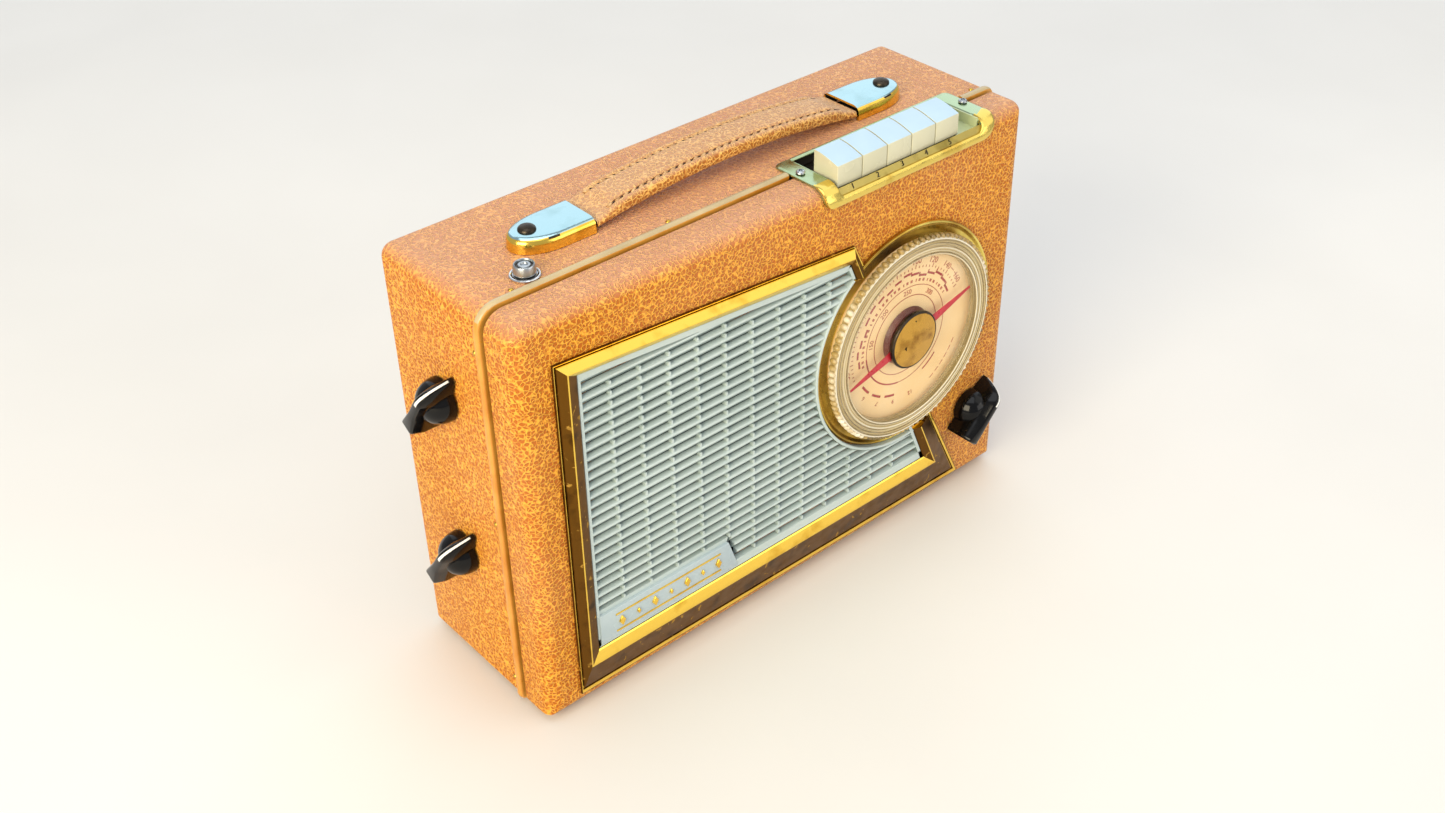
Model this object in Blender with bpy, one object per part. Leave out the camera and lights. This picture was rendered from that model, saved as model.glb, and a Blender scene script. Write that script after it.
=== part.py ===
"""A portable transistor radio of about 1960: a leatherette case with a carrying handle.

Sizes are in millimetres in the case's own frame: X to the right, Y to the back, Z up, with the
origin on the case's underside, at its centre. Solids are scaled to metres when they are made.
The empty "case_origin" lifts the case onto its feet and centres the whole object on the origin.
Behind the front and the side, "height" is the distance that a piece stands out of the case.
"""

import math

import bmesh
import bpy
from mathutils import Matrix, Vector

MM = 0.001
GAP = 0.3  # between pieces that touch

# Case
WIDTH, DEPTH, HEIGHT = 270.0, 87.14, 190.1
FRONT, BACK, LEFT, RIGHT = -DEPTH / 2, DEPTH / 2, -WIDTH / 2, WIDTH / 2
LEFT_CORNER, REAR_LEFT_CORNER, RIGHT_CORNER = 9.0, 5.5, 4.0
LOW_CORNER = 2.6
FRONT_EDGE, BACK_EDGE = 7.0, 4.0
WALL, BACK_WALL = 4.0, 6.0
SEAM_FRONT, SEAM_BACK = -25.6, -20.2
PIPING_PROUD = 1.9
FOOT_RADIUS, FOOT_HEIGHT = 5.0, 2.5

# Front
GRILLE_FACE = 3.4
FRAME_RIDGE = 5.4
FRAME_OUTER = [(-119.6, 7.5), (107.0, 6.0), (31.5, 160.5), (-119.6, 171.0)]
FRAME_CREST = [(-116.2, 24.0), (86.0, 24.0), (28.2, 157.8), (-116.2, 167.6)]
FRAME_INNER = [(-111.0, 29.4), (79.6, 29.4), (27.4, 154.6), (-111.0, 164.6)]
SLAT_PITCH, SLOT, LOWEST_SLOT = 4.57, 1.8, 34.12
GRILLE_BORDER = 2.4
PLAQUE = (-111.0, -35.0, 31.0, 46.0)  # left, right, bottom and top of the name plaque's land
DIAL = (64.5, 103.0)
BEZEL_RADIUS = 53.5
DISC_RADIUS = 49.3
SCALE_RADIUS = 46.0
CAP_RADIUS = 13.7
SHAFT_RADIUS = 3.0
POINTER_ANGLE = 16.9

# Pointer knobs
KNOB_RADIUS = 9.4
KNOB_HEIGHT = 15.2
KNOB_TAIL, KNOB_TIP = -14.6, 16.3
FRONT_KNOB, FRONT_KNOB_ANGLE = (111.2, 42.2), 47.0
SIDE_KNOB_Y = 6.8
VOLUME_KNOB_Z, TONE_KNOB_Z = 138.0, 62.0
SIDE_KNOB_ANGLE = 124.0  # from +Y towards +Z

# Keys and their escutcheon
PLATE_LEFT, PLATE_RIGHT, PLATE_BACK = 14.7, 116.0, -13.7
OPENING_LEFT, OPENING_RIGHT, OPENING_BACK, OPENING_FRONT = 23.6, 106.8, -16.2, -42.0
KEY_COUNT, KEY_PITCH, KEY_LEFT, KEY_FRONT = 5, 14.1, 24.35, -41.0
KEY_PIVOT = (-17.5, HEIGHT - 6.0)
PIVOT_RADIUS = 1.3
PLATE_SCREWS = [("left", 18.0), ("right", 113.0)]
PLATE_SCREW_Y = -26.6

# Handle
HANDLE_Y = 3.3
HANDLE_WIDTH = 22.0
CAP_MOUTH, CAP_END, CAP_HEIGHT = 69.5, 102.0, 6.5
RIVET_X, RIVET_SHANK = 93.5, 1.8
STRAP_END, STRAP_THICK, STRAP_ROUND = 68.6, 6.2, 2.2
STRAP_LOW, STRAP_HIGH = 4.4, 10.2  # of its mid-plane over the case, at its ends and half way

# Aerial
AERIAL = (-107.4, -14.2)
SLEEVE_OUTER, SLEEVE_INNER = 4.7, 3.8
AERIAL_TOP = HEIGHT + 0.9

# Rear door
DOOR_X, DOOR_BOTTOM, DOOR_TOP = 118.0, 16.0, 166.0
DOOR_THICK = 3.0
HINGE_RADIUS, HINGE_PIN = 2.4, 1.1
HINGE_Y, HINGE_Z = BACK + GAP + HINGE_RADIUS, 15.6
HINGE_HALF = 60.0
DOOR_SCREW_Z = 157.5

MATERIALS = {
    "leatherette": ((0.62, 0.26, 0.05), 0.55, 0.0),
    "piping": ((0.55, 0.27, 0.06), 0.5, 0.0),
    "leather": ((0.60, 0.29, 0.08), 0.5, 0.0),
    "brass": ((0.62, 0.44, 0.12), 0.25, 1.0),
    "pale_brass": ((0.70, 0.62, 0.34), 0.3, 1.0),
    "grille_plastic": ((0.62, 0.68, 0.66), 0.4, 0.0),
    "scale_card": ((0.75, 0.55, 0.28), 0.6, 0.0),
    "clear_plastic": ((0.80, 0.68, 0.42), 0.15, 0.0),
    "key_plastic": ((0.80, 0.79, 0.74), 0.35, 0.0),
    "black_plastic": ((0.01, 0.01, 0.01), 0.15, 0.0),
    "chrome": ((0.75, 0.75, 0.76), 0.15, 1.0),
    "steel": ((0.45, 0.45, 0.46), 0.35, 1.0),
    "paper": ((0.10, 0.09, 0.08), 0.9, 0.0),
    "board": ((0.35, 0.17, 0.05), 0.6, 0.0),
    "ferrite": ((0.05, 0.05, 0.05), 0.6, 0.0),
    "battery_card": ((0.10, 0.20, 0.35), 0.6, 0.0),
    "rubber": ((0.02, 0.02, 0.02), 0.8, 0.0),
}


def clear_scene():
    for obj in list(bpy.data.objects):
        bpy.data.objects.remove(obj, do_unlink=True)


def make_materials():
    for name, (colour, roughness, metallic) in MATERIALS.items():
        material = bpy.data.materials.new(name)
        material.use_nodes = True
        shader = material.node_tree.nodes["Principled BSDF"]
        shader.inputs["Base Color"].default_value = (*colour, 1)
        shader.inputs["Roughness"].default_value = roughness
        shader.inputs["Metallic"].default_value = metallic
        material.diffuse_color = (*colour, 1)


def make_origin():
    """The case's origin, placed so that the whole radio stands on Z = 0, centred on the world's."""
    reach_left, reach_right = LEFT - KNOB_HEIGHT, RIGHT + PIPING_PROUD
    reach_front, reach_back = FRONT - KNOB_HEIGHT, HINGE_Y + HINGE_RADIUS
    origin = bpy.data.objects.new("case_origin", None)
    bpy.context.collection.objects.link(origin)
    origin.location = (
        -(reach_left + reach_right) / 2 * MM,
        -(reach_front + reach_back) / 2 * MM,
        (FOOT_HEIGHT + GAP) * MM,
    )
    return origin


def solid(name, points, faces, material, pivot=(0, 0, 0)):
    """An object of these case-frame points, with its own origin at pivot and its faces turned out."""
    pivot = Vector(pivot)
    mesh = bpy.data.meshes.new(name)
    mesh.from_pydata([(Vector(p) - pivot) * MM for p in points], [], faces)
    shape = bmesh.new()
    shape.from_mesh(mesh)
    bmesh.ops.remove_doubles(shape, verts=shape.verts, dist=1e-7)
    bmesh.ops.recalc_face_normals(shape, faces=shape.faces)
    shape.to_mesh(mesh)
    shape.free()
    mesh.materials.append(bpy.data.materials[material])
    mesh.shade_smooth()
    mesh.set_sharp_from_angle(angle=math.radians(35))
    obj = bpy.data.objects.new(name, mesh)
    bpy.context.collection.objects.link(obj)
    obj.parent = bpy.data.objects["case_origin"]
    obj.location = pivot * MM
    return obj


def loft(rings, closed=False):
    """Points and faces through rings of equal length, capped at both ends, or joined end to end."""
    count = len(rings[0])
    points = [p for ring in rings for p in ring]
    faces = []
    for i in range(len(rings) if closed else len(rings) - 1):
        a, b = i * count, (i + 1) % len(rings) * count
        for j in range(count):
            k = (j + 1) % count
            faces.append((a + j, a + k, b + k, b + j))
    if not closed:
        faces.append(tuple(range(count))[::-1])
        faces.append(tuple(range(len(points) - count, len(points))))
    return points, faces


def prism(name, outline, axis, low, high, material, pivot=(0, 0, 0)):
    """An outline pushed along an axis. The outline's two numbers are the other axes, in X, Y, Z order."""
    def at(pair, level):
        point = list(pair)
        point.insert(axis, level)
        return tuple(point)

    rings = [[at(p, low) for p in outline], [at(p, high) for p in outline]]
    return solid(name, *loft(rings), material, pivot)


def block(name, x, y, z, material, pivot=(0, 0, 0)):
    corners = [(x[0], y[0]), (x[1], y[0]), (x[1], y[1]), (x[0], y[1])]
    return prism(name, corners, 2, z[0], z[1], material, pivot)


def turned(name, profile, centre, axis, material, steps=24, pivot=None):
    """A profile of (radius, level) turned about an axis through centre. A profile that starts and ends
    on the axis makes a solid, and any other is closed into a ring."""
    first, second = [i for i in range(3) if i != axis]
    rings = []
    for step in range(steps):
        angle = 2 * math.pi * step / steps
        ring = []
        for radius, level in profile:
            point = [0, 0, 0]
            point[axis] = level
            point[first] = centre[0] + radius * math.cos(angle)
            point[second] = centre[1] + radius * math.sin(angle)
            ring.append(tuple(point))
        rings.append(ring)
    points, faces = loft(rings, closed=True)
    if profile[0][0] == 0 and profile[-1][0] == 0:
        last = len(profile) - 1
        faces = [face for face in faces if {v % len(profile) for v in face} != {0, last}]
    if pivot is None:
        pivot = [0, 0, 0]
        pivot[axis] = profile[0][1]
        pivot[first], pivot[second] = centre
    return solid(name, points, faces, material, pivot)


def rod(name, centre, axis, low, high, radius, material, steps=20, pivot=None):
    profile = [(0, low), (radius, low), (radius, high), (0, high)]
    return turned(name, profile, centre, axis, material, steps, pivot)


def tube(name, centre, axis, low, high, outer, inner, material, steps=20):
    profile = [(inner, low), (outer, low), (outer, high), (inner, high)]
    return turned(name, profile, centre, axis, material, steps)


def apply_boolean(obj, tool, operation):
    """Cuts or joins tool into obj, and removes tool."""
    bpy.context.view_layer.update()
    modifier = obj.modifiers.new(operation.lower(), "BOOLEAN")
    modifier.operation = operation
    modifier.solver = "EXACT"
    modifier.object = tool
    bpy.context.view_layer.update()
    mesh = bpy.data.meshes.new_from_object(obj.evaluated_get(bpy.context.evaluated_depsgraph_get()))
    obj.modifiers.clear()
    old = obj.data
    obj.data = mesh
    mesh.name = obj.name
    bpy.data.meshes.remove(old)
    bpy.data.objects.remove(tool, do_unlink=True)
    mesh.set_sharp_from_angle(angle=math.radians(35))


def cut(obj, *tools):
    for tool in tools:
        apply_boolean(obj, tool, "DIFFERENCE")


def join(obj, *tools):
    for tool in tools:
        apply_boolean(obj, tool, "UNION")


def rounded_rect(x, z, left, right, low, steps=5):
    """Points round a rectangle, starting at the right end of its top edge. left and right are the radii of
    its upper corners, and low is that of its lower ones."""
    points = []
    corners = [
        (x[1], z[1], 90, -1, -1, right),
        (x[1], z[0], 0, -1, 1, low),
        (x[0], z[0], -90, 1, 1, low),
        (x[0], z[1], -180, 1, -1, left),
    ]
    for cx, cz, start, sx, sz, radius in corners:
        for step in range(steps + 1):
            angle = math.radians(start - 90 * step / steps)
            points.append((
                cx + sx * radius + radius * math.cos(angle),
                cz + sz * radius + radius * math.sin(angle),
            ))
    return points


def case_ring(y, inset):
    """The case's outline at depth y, drawn in by inset. Its upper left corner tightens towards the back."""
    share = max((y - SEAM_BACK) / (BACK - SEAM_BACK), 0)
    corner = LEFT_CORNER + (REAR_LEFT_CORNER - LEFT_CORNER) * share
    radii = (max(corner - inset, 1.5), max(RIGHT_CORNER - inset, 1.5), max(LOW_CORNER - inset, 0.8))
    outline = rounded_rect((LEFT + inset, RIGHT - inset), (inset, HEIGHT - inset), *radii)
    return [(x, y, z) for x, z in outline]


def case_half(name, seam, face, edge, face_wall):
    """A box with one open side at the seam: rings from the middle of its face out, round and back in."""
    inward = 1 if face < seam else -1
    rings = []
    for angle in (math.radians(18 * step) for step in range(1, 6)):
        rings.append(case_ring(face + inward * edge * (1 - math.cos(angle)), edge * (1 - math.sin(angle))))
    rings.insert(0, case_ring(face, edge))
    rings += [
        case_ring(seam, 0),
        case_ring(seam, WALL),
        case_ring(face + inward * (face_wall + 4), WALL),
        case_ring(face + inward * face_wall, WALL + 3),
    ]
    return solid(name, *loft(rings), "leatherette")


def height(value):
    """The Y of a level this far in front of the case's front face."""
    return FRONT - value


def make_case():
    front = case_half("front_shell", SEAM_FRONT, FRONT, FRONT_EDGE, WALL)
    window = [(-105, 34), (78, 34), (16, 149), (-105, 158)]
    speaker_window = prism("window_tool", window, 1, FRONT - 1, FRONT + 9, "board")
    cut(speaker_window, rod("dial_land", DIAL, 1, FRONT - 3, FRONT + 12, 60, "board", 32))
    key_hole = (OPENING_LEFT - 1.2, OPENING_RIGHT + 1.2)
    cut(
        front,
        speaker_window,
        rod("shaft_tool", DIAL, 1, FRONT - 1, FRONT + 9, 8, "board"),
        rod("front_knob_tool", FRONT_KNOB, 1, FRONT - 1, FRONT + 9, 3.6, "board"),
        block("key_tool", key_hole, (KEY_FRONT - 1.5, SEAM_FRONT + 1), (180, HEIGHT + 1), "board"),
    )
    rear = case_half("rear_shell", SEAM_BACK, BACK, BACK_EDGE, BACK_WALL)
    cut(
        rear,
        block("key_tool", key_hole, (SEAM_BACK - 1, OPENING_BACK + 1.2), (180, HEIGHT + 1), "board"),
        rod("aerial_tool", AERIAL, 2, HEIGHT - 9, HEIGHT + 1, SLEEVE_OUTER + GAP, "board"),
        block("rebate_tool", (-DOOR_X - 0.4, DOOR_X + 0.4), (BACK - DOOR_THICK - GAP, BACK + 1),
              (DOOR_BOTTOM, DOOR_TOP + 0.4), "board"),
        block("door_tool", (-DOOR_X + 6, DOOR_X - 6), (BACK - BACK_WALL - 1, BACK),
              (DOOR_BOTTOM + 6, DOOR_TOP - 16), "board"),
        rod("door_screw_tool", (0, DOOR_SCREW_Z), 1, BACK - BACK_WALL - 1, BACK, 2.8, "board", 16),
    )
    for z in (VOLUME_KNOB_Z, TONE_KNOB_Z):
        cut(rear, rod("side_tool", (SIDE_KNOB_Y, z), 0, LEFT - 1, LEFT + 9, 3.6, "board"))
    top = (HEIGHT - 9, HEIGHT + 1)
    for side in (-1, 1):
        cut(rear, rod("rivet_tool", (side * RIVET_X, HANDLE_Y), 2, *top, RIVET_SHANK + 0.4, "board", 12))
    for _, x in PLATE_SCREWS:
        cut(front, rod("screw_tool", (x, PLATE_SCREW_Y), 2, *top, 1.7, "board", 12))


def make_piping():
    """A bead over the seam, with a tongue between the case halves, broken where the key plate sits."""
    front, back = SEAM_FRONT + 0.5, SEAM_BACK - GAP
    middle, half = (front + back) / 2, (back - front) / 2
    profile = [(-WALL + 0.5, front), (-WALL + 0.5, back), (GAP, back)]
    profile += [
        (GAP + (PIPING_PROUD - GAP) * math.sin(math.radians(a)), middle + half * math.cos(math.radians(a)))
        for a in (30, 60, 90, 120, 150)
    ]
    profile.append((GAP, front))
    lines = []
    for out, y in profile:
        radii = (LEFT_CORNER + out, RIGHT_CORNER + out, max(LOW_CORNER + out, 0.8))
        ring = rounded_rect((LEFT - out, RIGHT + out), (-out, HEIGHT + out), *radii)
        line = [(PLATE_RIGHT + 0.5, HEIGHT + out)] + ring + [(PLATE_LEFT - 0.5, HEIGHT + out)]
        lines.append([(x, y, z) for x, z in line])
    rings = [[line[i] for line in lines] for i in range(len(lines[0]))]
    solid("seam_piping", *loft(rings), "piping")


def make_feet():
    for side, x in (("left", -118), ("right", 118)):
        for end, y in (("front", -12), ("rear", 32)):
            floor = -FOOT_HEIGHT - GAP
            profile = [(0, -GAP), (FOOT_RADIUS, -GAP), (FOOT_RADIUS - 1, floor), (0, floor)]
            turned(f"foot_{end}_{side}", profile, (x, y), 2, "rubber", 16)


def make_door():
    """The rear door sits in a rebate and swings down on a hinge whose pin runs below its bottom edge."""
    pivot = (0, HINGE_Y, HINGE_Z)
    tall = (DOOR_BOTTOM + 0.4, DOOR_TOP)
    door = block("rear_door", (-DOOR_X, DOOR_X), (BACK - DOOR_THICK, BACK), tall, "leatherette", pivot)
    cut(door, rod("screw_tool", (0, DOOR_SCREW_Z), 1, BACK - 9, BACK + 9, 2.2, "board", 16))
    knuckles = 5
    length = 2 * HINGE_HALF / knuckles
    for name, first, z_plate, z_root in (
        ("hinge_case_leaf", 0, (4.6, 12.6), (12, HINGE_Z - 0.5)),
        ("hinge_door_leaf", 1, (18.6, 28.0), (HINGE_Z + 0.5, 19.2)),
    ):
        flat = (BACK + GAP + 0.15, BACK + GAP + 0.95)
        leaf = block(name, (-HINGE_HALF, HINGE_HALF), flat, z_plate, "brass", pivot)
        for k in range(first, knuckles, 2):
            x = (-HINGE_HALF + k * length + 0.15, -HINGE_HALF + (k + 1) * length - 0.15)
            join(
                leaf,
                block("web", (x[0] + 0.01, x[1] - 0.01), flat, z_root, "brass"),
                rod("knuckle", (HINGE_Y, HINGE_Z), 0, *x, HINGE_RADIUS, "brass", 16),
            )
        long = (-HINGE_HALF - 1, HINGE_HALF + 1)
        cut(leaf, rod("pin_hole", (HINGE_Y, HINGE_Z), 0, *long, HINGE_PIN + 0.25, "brass", 12))
    rod("hinge_pin", (HINGE_Y, HINGE_Z), 0, -HINGE_HALF + 0.5, HINGE_HALF - 0.5, HINGE_PIN, "steel", 12)
    end = BACK - BACK_WALL + 0.5
    profile = [(0, end), (1.8, end), (1.8, BACK + GAP), (6.5, BACK + GAP)]
    profile += [(6.5, BACK + 1.2), (5.6, BACK + 1.9), (0, BACK + 1.9)]
    screw = turned("door_screw", profile, (0, DOOR_SCREW_Z), 1, "brass", 20)
    slot = (DOOR_SCREW_Z - 0.7, DOOR_SCREW_Z + 0.7)
    cut(screw, block("slot", (-7, 7), (BACK + 0.9, BACK + 3), slot, "brass"))


def border(z, corners=FRAME_INNER):
    """The X of the frame's slanting right side at this level."""
    (low_x, low_z), (high_x, high_z) = corners[1], corners[2]
    return low_x + (high_x - low_x) * (z - low_z) / (high_z - low_z)


def slot_ends(z):
    """Where the slot whose lower edge is at z starts and ends: past the plaque, up to the dial or the frame."""
    left = FRAME_INNER[0][0] + GRILLE_BORDER
    if z < PLAQUE[3]:
        left = PLAQUE[1] + GRILLE_BORDER
    right = border(z + SLOT) - GRILLE_BORDER
    nearest = min(abs(z - DIAL[1]), abs(z + SLOT - DIAL[1]))
    clear = BEZEL_RADIUS + GRILLE_BORDER
    if nearest < clear:
        right = min(right, DIAL[0] - math.sqrt(clear ** 2 - nearest ** 2))
    (top_right, right_z), (top_left, left_z) = FRAME_INNER[2], FRAME_INNER[3]
    slope = (left_z - right_z) / (top_right - top_left)
    return left, min(right, top_left + (left_z - GRILLE_BORDER - z - SLOT) / slope)


def make_grille():
    signs = [(1, 1), (-1, 1), (-1, -1), (1, -1)]
    outline = [(x + GAP * sx, z + GAP * sz) for (x, z), (sx, sz) in zip(FRAME_INNER, signs)]
    grille = prism("grille", outline, 1, height(GRILLE_FACE), height(GAP), "grille_plastic")
    through = (height(9), FRONT + 2)
    cut(grille, rod("dial_tool", DIAL, 1, *through, BEZEL_RADIUS + 0.6, "board", 64))
    z = LOWEST_SLOT
    while z < FRAME_INNER[3][1]:
        left, right = slot_ends(z)
        if right - left > SLAT_PITCH:
            cut(grille, block("slot", (left, right), through, (z, z + SLOT), "board"))
        z += SLAT_PITCH
    rings = [
        [(x, height(GAP), z) for x, z in FRAME_OUTER],
        [(x, height(GAP + 0.6), z) for x, z in FRAME_OUTER],
        [(x, height(FRAME_RIDGE), z) for x, z in FRAME_CREST],
        [(x, height(GRILLE_FACE + 0.4), z) for x, z in FRAME_INNER],
        [(x, height(GAP), z) for x, z in FRAME_INNER],
    ]
    frame = solid("grille_frame", *loft(rings, closed=True), "brass")
    cut(frame, rod("dial_tool", DIAL, 1, *through, BEZEL_RADIUS + 0.4, "board", 64))


def make_speaker():
    centre, face = (-42.0, 97.0), FRONT + WALL + GAP
    basket = [(62, face), (62, -37.9), (55, -37.4), (24, -12), (24, -10)]
    basket += [(20, -10), (20, -13.4), (52.4, -38.9), (52.4, face)]
    turned("speaker_basket", basket, centre, 1, "steel", 32)
    cone = [(0, -21), (9, -19), (13, -16.4), (48.0, -37.0), (49.0, -38.2)]
    cone += [(49.4, -37.6), (48.4, -36.2), (13, -15.2), (12, -14), (0, -14)]
    turned("speaker_cone", cone, centre, 1, "paper", 32)
    magnet = [(0, -9.6), (22, -9.6), (25, -7.5), (25, 4.5), (23, 6), (0, 6)]
    turned("speaker_magnet", magnet, centre, 1, "steel", 24)


def make_dial():
    tuning = (DIAL[0], FRONT, DIAL[1])

    def turned_on_dial(name, profile, material, steps, pivot=None):
        turned(name, [(radius, height(out)) for radius, out in profile], DIAL, 1, material, steps, pivot)

    bezel = [(BEZEL_RADIUS, GAP), (BEZEL_RADIUS, 1.6), (53, 2.2), (52.4, 2)]
    bezel += [(51.4, 0.9), (46.4, 0.9), (46.4, GAP)]
    turned_on_dial("dial_bezel", bezel, "brass", 64)
    scale = (height(1.5), height(GAP), SCALE_RADIUS, SHAFT_RADIUS + 0.9)
    tube("dial_scale", DIAL, 1, *scale, "scale_card", 48)
    bore, rim = SHAFT_RADIUS + GAP, DISC_RADIUS
    disc = [(bore, 3.2), (38.5, 3.2), (40, 2.6), (rim - 0.4, 2.6), (rim, 3.2), (rim, 6.3), (rim - 0.8, 6.9)]
    disc += [(47.6, 6.9), (46.8, 6.3), (42.4, 6.9), (41.0, 7.2), (39.8, 6.6), (39.4, 5.0), (bore, 5.0)]
    turned_on_dial("tuning_disc", disc, "clear_plastic", 56, tuning)
    rim = CAP_RADIUS
    cap = [(0, 8.7), (rim - 1.2, 7.8), (rim - 0.3, 7.4), (rim, 5.8), (rim - 0.5, 5.3), (0, 5.3)]
    turned_on_dial("disc_cap", cap, "brass", 36, tuning)
    rotor = rod("capacitor_rotor", DIAL, 1, height(4.7), -7.0, SHAFT_RADIUS, "steel", 20, tuning)
    plates = half_disc(19, POINTER_ANGLE - 180, POINTER_ANGLE)
    for y in (-31.0, -25.0, -19.0):
        join(rotor, prism("rotor_plate", plates, 1, y, y + 1, "steel"))
    x, z = (DIAL[0] - 24, DIAL[0] + 24), (DIAL[1] - 24, DIAL[1] + 24)
    frame = block("capacitor_frame", x, (FRONT + 4.4, -10), z, "steel")
    cut(
        frame,
        block("inside", (x[0] + 1.5, x[1] - 1.5), (FRONT + 6, -11.5), (z[0] - 1, z[1] - 1.5), "steel"),
        rod("bearing", DIAL, 1, FRONT, 0, SHAFT_RADIUS + 0.4, "steel", 16),
    )
    wide, tall = (x[0] + 0.6, x[1] - 0.6), (DIAL[1] + 8, z[1] - 0.6)
    for y in (-28.0, -22.0):
        join(frame, block("stator_plate", wide, (y, y + 1), tall, "steel"))


def half_disc(radius, start, end):
    angles = [math.radians(start + (end - start) * k / 12) for k in range(13)]
    return [(DIAL[0] + radius * math.cos(a), DIAL[1] + radius * math.sin(a)) for a in angles]


def pointer_knob(name, centre, normal, angle, other):
    """A domed knob with a bar across it: its high blunt tail, then a nose that curves down to the tip.
    normal is the outward axis (0 for the left side, 1 for the front)."""
    base = LEFT if normal == 0 else FRONT

    def at(along, across, out):
        c, s = math.cos(math.radians(angle)), math.sin(math.radians(angle))
        first = centre[0] + along * c - across * s
        second = centre[1] + along * s + across * c
        return (base - out, first, second) if normal == 0 else (first, base - out, second)

    dome = [(0, 0.6), (KNOB_RADIUS, 0.6), (KNOB_RADIUS, 2.2), (8.7, 5.6), (7.3, 8.8), (4.8, 10.8), (0, 11.6)]
    shape = [(r, base - out) for r, out in dome]
    knob = turned(name, shape, centre, normal, "black_plastic", 24, at(0, 0, 0))
    # Distance along the bar, half widths at its foot and its top, and its height as a share of the whole.
    stations = [
        (KNOB_TAIL, 3.7, 2.2, 0.98),
        (-8, 3.7, 2.0, 1),
        (0, 3.6, 1.7, 1),
        (8, 3.0, 1.3, 0.98),
        (11.5, 2.3, 1.0, 0.9),
        (14.0, 1.7, 0.8, 0.69),
        (15.6, 1.2, 0.6, 0.41),
        (KNOB_TIP, 0.8, 0.4, 0.2),
    ]
    rings = []
    for along, wide, narrow, share in stations:
        top = KNOB_HEIGHT * share
        waist = min(KNOB_HEIGHT * 0.62, top * 0.65)
        rings.append([at(along, -wide, 0.9), at(along, wide, 0.9), at(along, wide, waist),
                      at(along, narrow, top), at(along, -narrow, top), at(along, -wide, waist)])
    join(knob, solid("bar", *loft(rings), "black_plastic"))
    cut(knob, rod("bore", centre, normal, base - 8, base + 5, SHAFT_RADIUS + GAP, "black_plastic", 16))
    knob.data.materials.clear()
    knob.data.materials.append(bpy.data.materials["black_plastic"])
    rod(f"{other}_shaft", centre, normal, base - 7.6, base + 12.5, SHAFT_RADIUS, "steel", 16, at(0, 0, 0))
    bore, front, back = SHAFT_RADIUS + GAP, base + WALL + GAP, base + 14
    case = [(0, back), (9.5, back), (9.5, front), (bore, front), (bore, back - 1.1), (0, back - 1.1)]
    turned(f"{other}_potentiometer", case, centre, normal, "steel", 20)


def make_knobs():
    pointer_knob("front_knob", FRONT_KNOB, 1, FRONT_KNOB_ANGLE, "front")
    pointer_knob("volume_knob", (SIDE_KNOB_Y, VOLUME_KNOB_Z), 0, SIDE_KNOB_ANGLE, "volume")
    pointer_knob("tone_knob", (SIDE_KNOB_Y, TONE_KNOB_Z), 0, SIDE_KNOB_ANGLE, "tone")


def over_edge(x, along, out):
    """A point on the key plate: along runs from the plate's back edge forward over the case's front edge."""
    flat = PLATE_BACK - (FRONT + FRONT_EDGE)
    if along <= flat:
        return (x, PLATE_BACK - along, HEIGHT + out)
    angle = (along - flat) / FRONT_EDGE
    if angle <= math.pi / 2:
        reach = FRONT_EDGE + out
        forward, up = reach * math.sin(angle), reach * math.cos(angle)
        return (x, FRONT + FRONT_EDGE - forward, HEIGHT - FRONT_EDGE + up)
    return (x, FRONT - out, HEIGHT - FRONT_EDGE - (along - flat - FRONT_EDGE * math.pi / 2))


def plate_ring(x, along, radii, out):
    """A rounded outline on the key plate, with extra points down its sides for the bend over the edge.
    radii are those of the back, front left and front right corners, and out is a height or a function
    of along."""
    points = []
    back, front_left, front = radii
    corner = [math.radians(90 * k / 5) for k in range(6)]
    points += [(x[1] - back + back * math.sin(a), along[0] + back - back * math.cos(a)) for a in corner]
    side = [0.4, 0.7, 0.8, 0.86, 0.91, 0.96]
    points += [(x[1], along[0] + back + (along[1] - front - along[0] - back) * t) for t in side]
    points += [(x[1] - front + front * math.cos(a), along[1] - front + front * math.sin(a)) for a in corner]
    front = front_left
    points += [(x[0] + front - front * math.sin(a), along[1] - front + front * math.cos(a)) for a in corner]
    points += [(x[0], along[0] + back + (along[1] - front - along[0] - back) * t) for t in side[::-1]]
    points += [(x[0] + back - back * math.cos(a), along[0] + back - back * math.sin(a)) for a in corner]
    return [over_edge(px, s, out(s) if callable(out) else out) for px, s in points]


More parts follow.
